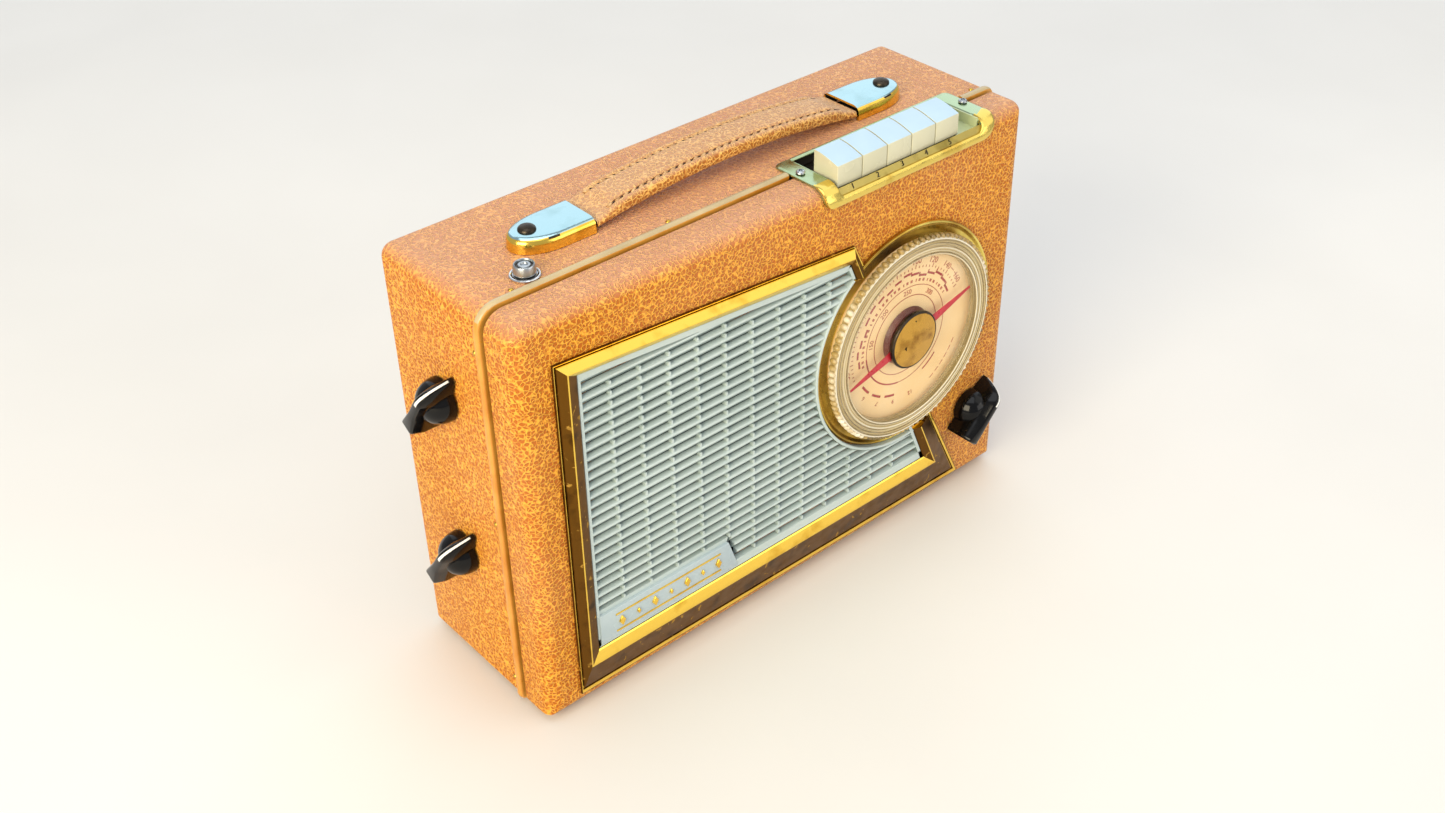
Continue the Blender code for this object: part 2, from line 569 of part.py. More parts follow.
def make_escutcheon():
    flat = PLATE_BACK - (FRONT + FRONT_EDGE)
    end = flat + FRONT_EDGE * math.pi / 2 + 0.4

    def rim(s):
        return 1.3 + 1.1 * min(max((s - flat + 1) / 7, 0), 1)

    outer, inner = (PLATE_LEFT, PLATE_RIGHT), (OPENING_LEFT, OPENING_RIGHT)
    hole = (PLATE_BACK - OPENING_BACK, PLATE_BACK - OPENING_FRONT)
    well = (hole[0] - 0.3, end - 3.9)
    rings = [
        plate_ring(outer, (0, end), (3.0, 4.0, 10.5), GAP),
        plate_ring(outer, (0, end), (3.0, 4.0, 10.5), 0.8),
        plate_ring((outer[0] + 0.8, outer[1] - 0.8), (0.6, end - 0.9), (2.4, 3.4, 9.9), rim),
        plate_ring((inner[0] - 1.2, inner[1] + 1.2), (well[0] - 0.8, well[1] + 1.0), (1.5, 2.0, 5.0), rim),
        plate_ring((inner[0] - 0.3, inner[1] + 0.3), well, (1.0, 1.2, 4.0), 0.9),
    ]
    rings += [
        plate_ring((inner[0] - 0.3, inner[1] + 0.3), well, (1.0, 1.2, 4.0), GAP + 0.1),
        plate_ring((inner[0] - 3.0, inner[1] + 3.0), (well[0] - 0.7, well[1] + 1.6), (1.6, 2.6, 5.6), GAP + 0.15),
        plate_ring((outer[0] + 2.0, outer[1] - 2.0), (0.6, end - 1.5), (2.4, 3.4, 9.4), GAP + 0.1),
    ]
    plate = solid("key_escutcheon", *loft(rings, closed=True), "pale_brass")
    wall = 0.8
    across = [hole[1], hole[1] + 0.9, hole[1] + 1.8, well[1] + 0.7]
    section = [over_edge(0, s, 1.15)[1:] for s in across] + [over_edge(0, s, 0.5)[1:] for s in across[::-1]]
    join(plate, prism("label_strip", section, 0, inner[0] - 0.8, inner[1] + 0.8, "pale_brass"))
    for side in (-1, 1):
        edge = inner[0] if side < 0 else inner[1]
        x = sorted((edge, edge + side * wall))
        y = (OPENING_FRONT - 0.3, OPENING_BACK)
        join(plate, block("lip", x, y, (HEIGHT - 2.5, HEIGHT + 0.7), "pale_brass"))
    for name, x in PLATE_SCREWS:
        y = PLATE_SCREW_Y
        cut(plate, rod("screw_hole", (x, y), 2, HEIGHT - 1, HEIGHT + 4, 1.5, "pale_brass", 12))
        head = [(0, -9), (1.2, -9), (1.2, 1.6), (2.0, 1.6), (1.9, 2.3), (1.1, 2.8), (0, 2.9)]
        head = [(radius, HEIGHT + level) for radius, level in head]
        screw = turned(f"escutcheon_screw_{name}", head, (x, y), 2, "steel", 16)
        deep = (HEIGHT + 2.1, HEIGHT + 4)
        cross = block("cross", (x - 1.3, x + 1.3), (y - 0.3, y + 0.3), deep, "steel")
        join(cross, block("bar", (x - 0.3, x + 0.3), (y - 1.3, y + 1.3), deep, "steel"))
        cut(screw, cross)


def make_keys():
    y, z = KEY_PIVOT
    profile = [(KEY_FRONT, -2.0), (KEY_FRONT, 7.2), (-40.3, 7.8), (-37.5, 8.9), (-34, 9.7)]
    profile += [(-30.5, 10.1), (-28.0, 10.1), (-27.4, 9.5), (-27.4, -1.8), (-20.6, -2.9)]
    profile = [(a, HEIGHT + b) for a, b in profile]
    boss = 2.9
    for degrees in (0, 45, 90, 135, 180, 215):
        a = math.radians(degrees)
        profile.append((y + boss * math.sin(a), z + boss * math.cos(a)))
    profile += [(-27, HEIGHT - 11.5), (-37, HEIGHT - 6.5)]
    for k in range(KEY_COUNT):
        left = KEY_LEFT + k * KEY_PITCH
        x = (left, left + KEY_PITCH - GAP)
        key = prism(f"key_{k + 1}", profile, 0, *x, "key_plastic", (sum(x) / 2, y, z))
        cut(key, rod("pivot_hole", KEY_PIVOT, 0, x[0] - 1, x[1] + 1, PIVOT_RADIUS + 0.2, "key_plastic", 12))
    rod("key_pivot_rod", KEY_PIVOT, 0, OPENING_LEFT - 3.4, OPENING_RIGHT + 3.0, PIVOT_RADIUS, "steel", 12)
    left, right, low = OPENING_LEFT - 2.6, OPENING_RIGHT + 2.6, HEIGHT - 24
    under, over, ear, wall = HEIGHT - 5.4, HEIGHT - 4.4, 8.5, 1.2
    channel = [(left, under), (left, low), (right, low), (right, under)]
    channel += [(right + ear, under), (right + ear, over), (right - wall, over)]
    channel += [(right - wall, low + wall), (left + wall, low + wall)]
    channel += [(left + wall, over), (left - ear, over), (left - ear, under)]
    frame = prism("key_switch_frame", channel, 1, -35.2, -13, "steel")
    cut(frame, rod("pivot_hole", KEY_PIVOT, 0, left - 1, right + 1, PIVOT_RADIUS + 0.25, "steel", 12))
    for _, x in PLATE_SCREWS:
        cut(frame, rod("screw_hole", (x, PLATE_SCREW_Y), 2, HEIGHT - 9, HEIGHT, 1.5, "steel", 12))


def bullet(x, half, inset):
    """The outline of a handle cap: straight at the mouth, and drawn in to a round nose."""
    length = x[1] - x[0] - inset
    points = [(x[0], -half + inset), (x[0] + length * 0.42, -half + inset)]
    for degrees in (-72, -54, -36, -18, 0, 18, 36, 54, 72):
        a = math.radians(degrees)
        points.append((x[0] + length * (0.42 + 0.58 * math.cos(a)), (half - inset) * math.sin(a)))
    return points + [(x[0] + length * 0.42, half - inset), (x[0], half - inset)]


def make_handle():
    half = HANDLE_WIDTH / 2
    for name, side in (("left", -1), ("right", 1)):
        rings = []
        for level, inset in ((GAP, 0), (4.2, 0.3), (5.7, 1.2), (CAP_HEIGHT, 3.0)):
            outline = bullet((CAP_MOUTH, CAP_END), half, inset)
            rings.append([(side * x, HANDLE_Y + y, HEIGHT + level) for x, y in outline])
        cap = solid(f"handle_cap_{name}", *loft(rings), "brass")
        cavity = sorted((side * (CAP_MOUTH - 1), side * (CAP_MOUTH + 19)))
        deeper = sorted((side * (CAP_MOUTH + 18), side * (RIVET_X + 5)))
        cut(
            cap,
            block("cavity", cavity, (HANDLE_Y - 9.2, HANDLE_Y + 9.2), (HEIGHT - 1, HEIGHT + 5.2), "brass"),
            block("deeper", deeper, (HANDLE_Y - 5.6, HANDLE_Y + 5.6), (HEIGHT - 1, HEIGHT + 5.2), "brass"),
            rod("rivet_hole", (side * RIVET_X, HANDLE_Y), 2, HEIGHT, HEIGHT + 9, RIVET_SHANK + 0.3, "brass", 12),
        )
        top = HEIGHT + CAP_HEIGHT + GAP
        rivet = [(0, HEIGHT - 8), (RIVET_SHANK, HEIGHT - 8), (RIVET_SHANK, top)]
        rivet += [(3.6, top), (3.3, top + 0.7), (2.2, top + 1.4), (0, top + 1.7)]
        turned(f"handle_rivet_{name}", rivet, (side * RIVET_X, HANDLE_Y), 2, "steel", 16)
    rings = []
    wide = half - 0.4
    for k in range(13):
        x = -STRAP_END + 2 * STRAP_END * k / 12
        middle = HEIGHT + STRAP_LOW + (STRAP_HIGH - STRAP_LOW) * (1 - (x / STRAP_END) ** 2)
        low, high = middle - STRAP_THICK / 2, middle + STRAP_THICK / 2
        one_side = [(wide - STRAP_ROUND, high), (wide, high - STRAP_ROUND)]
        one_side += [(wide, low + STRAP_ROUND * 0.7), (wide - STRAP_ROUND, low)]
        section = one_side + [(-y, z) for y, z in one_side[::-1]]
        rings.append([(x, HANDLE_Y + y, z) for y, z in section])
    strap = solid("handle_strap", *loft(rings), "leather")
    for side in (-1, 1):
        x, rivet = sorted((side * (STRAP_END - 4), side * (RIVET_X + 4))), (side * RIVET_X, HANDLE_Y)
        join(strap, block("tongue", x, (HANDLE_Y - 5, HANDLE_Y + 5), (HEIGHT + 1.3, HEIGHT + 2.9), "leather"))
        cut(strap, rod("rivet_hole", rivet, 2, HEIGHT, HEIGHT + 9, RIVET_SHANK + 0.7, "leather", 12))


def make_aerial():
    tube("aerial_ferrule", AERIAL, 2, HEIGHT + GAP, HEIGHT + 1.1, 6.0, SLEEVE_OUTER + GAP, "chrome", 24)
    tube("aerial_sleeve", AERIAL, 2, 25, AERIAL_TOP, SLEEVE_OUTER, SLEEVE_INNER, "steel", 20)
    tube("aerial_section_1", AERIAL, 2, 30, AERIAL_TOP, 3.5, 2.8, "chrome", 20)
    tube("aerial_section_2", AERIAL, 2, 35, AERIAL_TOP, 2.5, 1.9, "chrome", 16)
    rod("aerial_section_3", AERIAL, 2, 40, HEIGHT + 3.2, 1.6, "chrome", 16)
    tip = [(0, 3.5), (1.9, 3.5), (1.9, 1.3), (4.4, 1.3), (4.4, 1.9), (4.1, 4.9), (3.8, 5.2)]
    tip += [(3.5, 4.9), (3.3, 4.3), (2.4, 4.3), (2.2, 4.9), (1.5, 4.9), (1.2, 4.3), (0, 4.3)]
    turned("aerial_tip", [(radius, HEIGHT + level) for radius, level in tip], AERIAL, 2, "chrome", 24)


def make_inside():
    block("circuit_board", (-30, 125), (9.6, 11.2), (96, 162), "board")
    block("output_transformer", (92, 118), (11.6, 30), (104, 128), "steel")
    axis, low = (26, 172), 163
    ferrite = rod("ferrite_aerial", axis, 0, -70, 70, 5, "ferrite", 16)
    join(ferrite, rod("coil", axis, 0, 20, 45, 7, "battery_card", 20))
    bracket = block("ferrite_bracket", (-60, 10), (axis[0] - 7.5, axis[0] + 7.5), (low, axis[1] - 1), "board")
    cut(
        bracket,
        block("cradle", (-61, 11), (axis[0] - 5.6, axis[0] + 5.6), (axis[1] - 6.4, axis[1] + 1), "board"),
        block("gap", (-50, 0), (axis[0] - 9, axis[0] + 9), (low + 1.5, axis[1] + 3), "board"),
    )
    tray = block("battery_tray", (-67, 67), (12, 37), (22.6, 62), "board")
    cut(tray, block("inside", (-65.5, 65.5), (13.5, 38), (24.2, 63), "board"))
    for name, x in (("left", (-64, -1)), ("right", (1, 64))):
        block(f"battery_{name}", x, (13.9, 35.9), (24.5, 91.5), "battery_card")


clear_scene()
make_materials()
make_origin()
bpy.context.view_layer.update()
make_case()
make_piping()
make_feet()
make_door()
make_grille()
make_speaker()
make_dial()
make_knobs()
make_escutcheon()
make_keys()
make_handle()
make_aerial()
make_inside()
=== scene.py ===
"""The looks of the portable radio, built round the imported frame.

Sizes are millimetres in the case's own frame: X to the right, Y to the back, Z up, with the origin on the
case's underside, at its centre. "Out" is the distance that a surface stands in front of the case's face.
"""
import random
from math import cos, exp, hypot, pi, radians, sin, sqrt

import bmesh
import bpy
from mathutils import Matrix, Vector


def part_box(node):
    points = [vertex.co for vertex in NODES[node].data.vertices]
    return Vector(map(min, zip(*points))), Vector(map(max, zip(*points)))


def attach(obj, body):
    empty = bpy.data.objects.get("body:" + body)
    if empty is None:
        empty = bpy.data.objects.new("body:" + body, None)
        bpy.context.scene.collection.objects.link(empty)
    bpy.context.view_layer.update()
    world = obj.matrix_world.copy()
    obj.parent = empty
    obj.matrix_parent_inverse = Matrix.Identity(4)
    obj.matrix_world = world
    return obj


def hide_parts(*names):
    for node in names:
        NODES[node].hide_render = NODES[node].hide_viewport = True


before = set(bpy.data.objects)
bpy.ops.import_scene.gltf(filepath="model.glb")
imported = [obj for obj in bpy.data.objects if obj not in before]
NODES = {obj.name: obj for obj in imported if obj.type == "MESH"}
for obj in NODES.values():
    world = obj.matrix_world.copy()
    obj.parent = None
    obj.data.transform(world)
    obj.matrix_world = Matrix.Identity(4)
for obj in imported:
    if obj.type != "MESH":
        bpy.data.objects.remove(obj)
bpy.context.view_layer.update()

MM = 0.001
GAP = 0.3

# ---------------------------------------------------------------- places, read from the frame

FRONT_LOW, REAR_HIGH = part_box("front_shell")[0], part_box("rear_shell")[1]
ORIGIN = Vector(((FRONT_LOW.x + REAR_HIGH.x) / 2, (FRONT_LOW.y + REAR_HIGH.y) / 2, FRONT_LOW.z))


def measure(node):
    """A node's lowest and highest corners, in the case's frame."""
    return [(corner - ORIGIN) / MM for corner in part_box(node)]


def middle(node):
    low, high = measure(node)
    return (low + high) / 2


(LEFT, FRONT, _), (_, SEAM_FRONT, HEIGHT) = measure("front_shell")
(_, SEAM_BACK, _), (RIGHT, BACK, _) = measure("rear_shell")
LEFT_CORNER, REAR_LEFT_CORNER, RIGHT_CORNER, LOW_CORNER = 9.0, 5.5, 4.0, 2.6
FRONT_EDGE, BACK_EDGE = 7.0, 4.0
WALL, BACK_WALL = 4.0, 6.0
PIPING_PROUD = measure("seam_piping")[1].x - RIGHT
DIAL = (middle("tuning_disc").x, middle("tuning_disc").z)
DISC_RADIUS = (measure("tuning_disc")[1].x - measure("tuning_disc")[0].x) / 2
BEZEL_RADIUS = (measure("dial_bezel")[1].x - measure("dial_bezel")[0].x) / 2
SCALE_RADIUS = (measure("dial_scale")[1].x - measure("dial_scale")[0].x) / 2
CAP_RADIUS = (measure("disc_cap")[1].x - measure("disc_cap")[0].x) / 2
POINTER_ANGLE = 16.9
FRAME_OUTER = [(-119.6, 7.5), (107.0, 6.0), (31.5, 160.5), (-119.6, 171.0)]
FRAME_CREST = [(-116.2, 24.0), (86.0, 24.0), (28.2, 157.8), (-116.2, 167.6)]
FRAME_INNER = [(-111.0, 29.4), (79.6, 29.4), (27.4, 154.6), (-111.0, 164.6)]
SLAT_PITCH, LOWEST_SLOT = 4.57, 34.12
GRILLE_FACE, FRAME_RIDGE = 3.4, 5.4
PLAQUE = (-111.0, -41.0, 31.0, 46.0)
AERIAL = (middle("aerial_tip").x, middle("aerial_tip").y)
KNOB_ANGLES = {"front_knob": 47.0, "volume_knob": 124.0, "tone_knob": 124.0}
HANDLE_Y = middle("handle_strap").y
HANDLE_WIDTH = 22.0
PLATE_LOW, PLATE_HIGH = measure("key_escutcheon")
PLATE_BACK = PLATE_HIGH.y
FLAT = PLATE_BACK - (FRONT + FRONT_EDGE)
PLATE_END = FLAT + FRONT_EDGE * pi / 2 + (HEIGHT - FRONT_EDGE - PLATE_LOW.z)
KEY_LOW, KEY_HIGH = measure("key_1")[0], measure("key_5")[1]
OPENING = (23.6, 106.8)
STRIP_BACK, STRIP_END = PLATE_BACK + 42.1, PLATE_END - 3.2


# ---------------------------------------------------------------- materials

def srgb(*values):
    """A linear colour from one given as 0 to 255."""
    linear = [v / 255 / 12.92 if v <= 10 else ((v / 255 + 0.055) / 1.055) ** 2.4 for v in values]
    return (*linear, 1)


def add(tree, kind, inputs=None, **settings):
    made = tree.nodes.new("ShaderNode" + kind)
    for key, value in settings.items():
        setattr(made, key, value)
    for key, value in (inputs or {}).items():
        if isinstance(value, bpy.types.NodeSocket):
            tree.links.new(value, made.inputs[key])
        else:
            made.inputs[key].default_value = value
    return made


def maths(tree, operation, *values):
    return add(tree, "Math", dict(enumerate(values)), operation=operation).outputs[0]


def ramp(tree, value, stops):
    """A colour ramp over value, through (position, colour) stops."""
    made = add(tree, "ValToRGB", {"Fac": value})
    elements = made.color_ramp.elements
    while len(elements) < len(stops):
        elements.new(0.5)
    for element, (position, colour) in zip(elements, stops):
        element.position = position
        element.color = colour
    return made.outputs["Color"]


def noise_of(tree, scale, detail=3.0, distortion=0.0):
    """Noise over the object's own coordinates. scale is in features per metre."""
    place = add(tree, "TexCoord").outputs["Object"]
    inputs = {"Vector": place, "Scale": scale, "Detail": detail, "Distortion": distortion}
    return add(tree, "TexNoise", inputs).outputs["Fac"]


def spread(tree, value, low, high, start=0.3, end=0.7):
    """Carries start to end over to low to high, and no further."""
    inputs = {0: value, 1: start, 2: end, 3: low, 4: high}
    return add(tree, "MapRange", inputs).outputs[0]


def mixed(tree, factor, first, second):
    inputs = {0: factor, 6: first, 7: second}
    return add(tree, "Mix", inputs, data_type="RGBA").outputs[2]


def raise_by(tree, shader, height, strength, distance):
    """Bumps the shader's surface by this height, of so many millimetres."""
    bump = add(tree, "Bump", {"Height": height, "Strength": strength, "Distance": distance * MM})
    tree.links.new(bump.outputs[0], shader.inputs["Normal"])


def new_material(name, **sockets):
    material = bpy.data.materials.new(name)
    material.use_nodes = True
    shader = material.node_tree.nodes["Principled BSDF"]
    for key, value in sockets.items():
        shader.inputs[key.replace("_", " ")].default_value = value
    return material, material.node_tree, shader


def surface(name, stops, scale=60, roughness=(0.3, 0.5), bump=0.02, bump_scale=900, patches=None, **sockets):
    """A finish whose colour wanders between stops, with uneven gloss, a fine bump in millimetres and
    optional patches, given as (colour, the noise level that they start at, features per metre)."""
    material, tree, shader = new_material(name, **sockets)
    colour = ramp(tree, noise_of(tree, scale, 4, 0.3), [(at, srgb(*value)) for at, value in stops])
    rough = spread(tree, noise_of(tree, scale * 2.3, 5), *roughness)
    if patches:
        tint, level, size = patches
        mask = spread(tree, noise_of(tree, size, 6, 0.6), 0, 1, level, level + 0.035)
        colour = mixed(tree, mask, colour, srgb(*tint))
        rough = maths(tree, "ADD", rough, maths(tree, "MULTIPLY", mask, 0.25))
    tree.links.new(colour, shader.inputs["Base Color"])
    tree.links.new(rough, shader.inputs["Roughness"])
    raise_by(tree, shader, noise_of(tree, bump_scale, 3), 0.6, bump)
    return material


def finish(name, deep, pale, *rest, **more):
    """A surface that wanders between two colours."""
    return surface(name, [(0.3, deep), (0.7, pale)], *rest, **more)


def facing_up(tree, low, high):
    """From low on upright faces to high on level ones, at rest."""
    apart = add(tree, "SeparateXYZ", {"Vector": add(tree, "TexCoord").outputs["Normal"]})
    return spread(tree, apart.outputs["Z"], low, high, 0.25, 0.95)


def grained(name, valley, ridge, fade_and_sky_sheen, scale=560, depth=0.35, sky_sheen=0.5):
    """Leathercloth: short pale winding ridges on a darker ground, faded at random, with a painted pale sky
    reflection on the upper faces.
    """
    sockets = {"Specular_IOR_Level": 0.3, "Sheen_Weight": 0.05, "Sheen_Roughness": 0.4}
    material, tree, shader = new_material(name, **sockets)
    place = add(tree, "TexCoord").outputs["Object"]
    swirl = add(tree, "TexNoise", {"Vector": place, "Scale": scale * 0.8, "Detail": 0.0}).outputs["Color"]
    centred = add(tree, "VectorMath", {0: swirl, 1: (0.5, 0.5, 0.5)}, operation="SUBTRACT").outputs[0]
    moved = add(tree, "VectorMath", {0: centred, "Scale": 1.6 * MM}, operation="SCALE").outputs[0]
    winding = add(tree, "VectorMath", {0: place, 1: moved}, operation="ADD").outputs[0]
    cells = add(tree, "TexVoronoi", {"Vector": winding, "Scale": scale}, feature="DISTANCE_TO_EDGE")
    ridges = spread(tree, cells.outputs["Distance"], 1, 0, 0.05, 0.2)
    broken = spread(tree, noise_of(tree, scale * 1.3, 0), 0.35, 1, 0.3, 0.5)
    ridges = maths(tree, "MULTIPLY", ridges, broken)
    colour = mixed(tree, ridges, srgb(*valley), srgb(*ridge))
    fade = spread(tree, noise_of(tree, 12, 2, 0.3), 0, 0.12, 0.42, 0.68)
    # Random fading, plus a painted sky reflection that pales the faces that look up.
    colour = mixed(tree, maths(tree, "ADD", fade, facing_up(tree, 0, sky_sheen)), colour, srgb(*fade_and_sky_sheen))
    tree.links.new(colour, shader.inputs["Base Color"])
    tree.links.new(spread(tree, ridges, 0.55, 0.4, 0, 1), shader.inputs["Roughness"])
    raise_by(tree, shader, ridges, 1.0, depth)
    return material


def brass(name, bright, deep, roughness, patches=None):
    """Plated metal, mostly bright, with deeper stains."""
    stops = [(0.3, deep), (0.48, bright), (0.75, bright)]
    return surface(name, stops, 90, roughness, 0.05, 700, patches, Metallic=1.0)


# Each leathercloth's third colour is both its random fade and the painted sky reflection on its upper faces.
LEATHERETTE = grained("leatherette", (176, 94, 0), (240, 170, 52), (204, 160, 136))
STRAP_LEATHER = grained("strap_leather", (164, 94, 14), (246, 190, 96), (198, 162, 132), 600, 0.25)
# Painted shade for the grooves along the strap's stitching.
STITCH_GROOVE_SHADE = grained("leather_painted_groove_shade", (96, 54, 20), (150, 96, 46), (130, 82, 40), 600, 0.2, 0.1)
PIPING = surface("piping", [(0.3, (190, 120, 30)), (0.6, (212, 150, 62))], 70, (0.26, 0.38), 0.03, 600)
# Paler grey: a painted sky reflection for the piping's upper faces.
PIPING_TOP_SKY_REFLECTION = finish("piping_top_painted_sky_reflection", (170, 152, 112), (192, 172, 130), 50, (0.24, 0.34), 0.02, 600)
# Near black: painted shade for the case's inside, for hollows and for the walls of holes.
INSIDE_SHADE = finish("painted_inside_shade", (26, 20, 15), (40, 32, 24), 90, (0.8, 0.95), 0.06, 900)
GOLD = brass("gold", (246, 206, 88), (224, 176, 62), (0.1, 0.2))
# Pale blue silver: a painted sky reflection for the upper faces of the handle's caps.
CAP_TOP_SKY_REFLECTION = brass("cap_top_painted_sky_reflection", (170, 204, 210), (158, 192, 196), (0.08, 0.16))
OLD_GOLD = brass("old_gold", (206, 166, 70), (172, 132, 54), (0.2, 0.4))
WORN_BRASS = [(0.34, (96, 72, 28)), (0.48, (182, 148, 60)), (0.62, (236, 214, 112))]
BEZEL_BRASS = surface("bezel_brass", WORN_BRASS, 26, (0.16, 0.36), 0.05, 700, Metallic=1.0)
# Dark brown: a painted reflection of the dark floor, with painted bright glints in its patches.
DARK_REFLECTION_GOLD = brass("gold_painted_dark_reflection", (104, 70, 22), (62, 40, 12), (0.28, 0.46), ((186, 146, 66), 0.644, 260))
PALE_GOLD = brass("pale_gold", (176, 196, 158), (160, 178, 132), (0.18, 0.3))
STRIP_GOLD = brass("strip_gold", (176, 158, 88), (140, 122, 60), (0.26, 0.4))
WELL = finish("well_enamel", (176, 186, 140), (196, 204, 158), 60, (0.25, 0.4), 0.02, 700)
ROLLED_GOLD = brass("rolled_gold", (232, 204, 104), (206, 168, 70), (0.14, 0.28))
CAP_GOLD = brass("cap_gold", (206, 158, 70), (150, 106, 40), (0.2, 0.34), ((46, 30, 18), 0.668, 300))
CHROME = finish("chrome", (196, 200, 204), (222, 224, 226), 60, (0.1, 0.18), 0.004, 500, Metallic=1.0)
STEEL = finish("steel", (160, 166, 170), (190, 196, 200), 80, (0.24, 0.4), 0.03, 900, Metallic=1.0)
DARK_METAL = finish("dark_metal", (44, 38, 32), (72, 64, 54), 200, (0.24, 0.42), 0.05, 900, Metallic=0.85)
GRILLE = finish("grille_plastic", (178, 193, 191), (190, 204, 203), 25, (0.3, 0.42), 0.02, 700)
GRILLE_SHADE = finish("grille_shade", (122, 140, 138), (142, 158, 155), 40, (0.4, 0.55), 0.02, 700)
PLAQUE_PLASTIC = finish("plaque_plastic", (162, 179, 187), (176, 191, 197), 30, (0.2, 0.32), 0.01, 500)
KEYS = finish("key_plastic", (188, 186, 158), (202, 199, 172), 40, (0.2, 0.3), 0.008, 500, Coat_Weight=0.2)
# Pale blue: a painted sky reflection for the keys' tops.
KEY_TOP_SKY_REFLECTION = finish("key_top_painted_sky_reflection", (166, 194, 214), (176, 202, 220), 40, (0.16, 0.26), 0.008, 500, Coat_Weight=0.3)
SCALE = finish("scale_card", (244, 208, 150), (252, 222, 172), 28, (0.45, 0.6), 0.01, 900)
PRINT_RED = finish("print_red", (150, 20, 32), (176, 36, 44), 300, (0.4, 0.55), 0.01)
PRINT_BROWN = finish("print_brown", (168, 78, 58), (184, 98, 74), 300, (0.45, 0.6), 0.01)
POINTER_RED = finish("pointer_red", (170, 20, 38), (196, 36, 52), 200, (0.25, 0.4), 0.01)
BLACK_GLOSS = finish("black_plastic", (4, 4, 5), (9, 9, 11), 50, (0.08, 0.16), 0.006, 300,
                     Specular_IOR_Level=0.25)
WHITE_PAINT = finish("white_paint", (228, 228, 224), (244, 244, 240), 200, (0.3, 0.5), 0.02)
HUB = finish("hub_plastic", (84, 30, 30), (132, 62, 56), 60, (0.3, 0.5), 0.02)
THREAD = finish("thread", (150, 104, 58), (220, 184, 132), 900, (0.6, 0.8), 0.12, 2600)
# Near black: painted shade for the needle holes and for the gap at each cap's mouth.
HOLE_SHADE = finish("painted_hole_shade", (30, 18, 8), (52, 32, 16), 900, (0.8, 0.9), 0.05, 2600)
RUBBER = finish("rubber", (24, 24, 24), (44, 43, 42), 90, (0.6, 0.8), 0.06, 1200)
PAPER_CONE = finish("paper_cone", (42, 38, 34), (66, 60, 54), 300, (0.8, 0.95), 0.1, 1500)
BOARD = finish("board", (122, 74, 36), (156, 100, 54), 60, (0.4, 0.6), 0.03, 900,
               ((180, 120, 70), 0.548, 260))
FERRITE = finish("ferrite", (44, 42, 42), (70, 66, 64), 240, (0.5, 0.7), 0.05, 1400)
CARD = finish("battery_card", (40, 74, 112), (60, 98, 138), 60, (0.5, 0.7), 0.03, 900)
SEALING = finish("battery_sealing", (30, 24, 20), (48, 38, 30), 120, (0.35, 0.6), 0.08, 500)
LINING = finish("door_lining", (104, 74, 46), (130, 96, 62), 40, (0.7, 0.9), 0.06, 900)


def clear_plastic(name, tint, share, roughness, rings=0):
    """Aged clear plastic, whose alpha runs over share, with rings turned into it about the dial's axis."""
    material, tree, shader = new_material(name, IOR=1.49, Coat_Weight=0.5, Coat_Roughness=0.1)
    wander = noise_of(tree, 60, 4)
    if rings:
        apart = add(tree, "SeparateXYZ", {"Vector": add(tree, "TexCoord").outputs["Object"]})
        across = maths(tree, "SUBTRACT", apart.outputs["X"], ORIGIN.x + DIAL[0] * MM)
        up = maths(tree, "SUBTRACT", apart.outputs["Z"], ORIGIN.z + DIAL[1] * MM)
        squares = maths(tree, "ADD", maths(tree, "MULTIPLY", across, across), maths(tree, "MULTIPLY", up, up))
        inputs = {"W": maths(tree, "SQRT", squares), "Scale": rings, "Detail": 4.0}
        wander = add(tree, "TexNoise", inputs, noise_dimensions="1D").outputs["Fac"]
    tint = srgb(*tint)
    dark = tuple(c * 0.42 for c in tint[:3]) + (1,)
    colour = ramp(tree, wander, [(0.36, dark), (0.52, tint), (0.7, srgb(246, 240, 222))])
    tree.links.new(colour, shader.inputs["Base Color"])
    tree.links.new(spread(tree, wander, *share), shader.inputs["Alpha"])
    tree.links.new(spread(tree, noise_of(tree, 180, 5), *roughness), shader.inputs["Roughness"])
    raise_by(tree, shader, wander, 0.7, 0.25 if rings else 0.01)
    return material


WINDOW = clear_plastic("window_plastic", (236, 222, 190), (0.04, 0.08), (0.04, 0.12))
RIM_PLASTIC = clear_plastic("rim_plastic", (206, 184, 128), (0.5, 0.8), (0.1, 0.22), 900)
BEADS = clear_plastic("bead_plastic", (190, 160, 96), (0.75, 0.92), (0.1, 0.2))


# ---------------------------------------------------------------- mesh helpers

def linked(name, data):
    obj = bpy.data.objects.new(name, data)
    bpy.context.scene.collection.objects.link(obj)
    return obj


def mesh_of(name, points, faces, material, smooth=35):
    """An object of these case-frame points, with its faces turned out."""
    mesh = bpy.data.meshes.new(name)
    mesh.from_pydata([ORIGIN + Vector(p) * MM for p in points], [], faces)
    shape = bmesh.new()
    shape.from_mesh(mesh)
    bmesh.ops.remove_doubles(shape, verts=shape.verts, dist=1e-7)
    bmesh.ops.recalc_face_normals(shape, faces=shape.faces)
    shape.to_mesh(mesh)
    shape.free()
    mesh.materials.append(material)
    mesh.shade_smooth()
    mesh.set_sharp_from_angle(angle=radians(smooth))
    return linked(name, mesh)


def place(obj, body, slot, *hidden):
    """The piece rides on body and stands for the hidden CAD nodes. slot is not used."""
    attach(obj, body)
    if hidden:
        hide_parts(*hidden)
    return obj


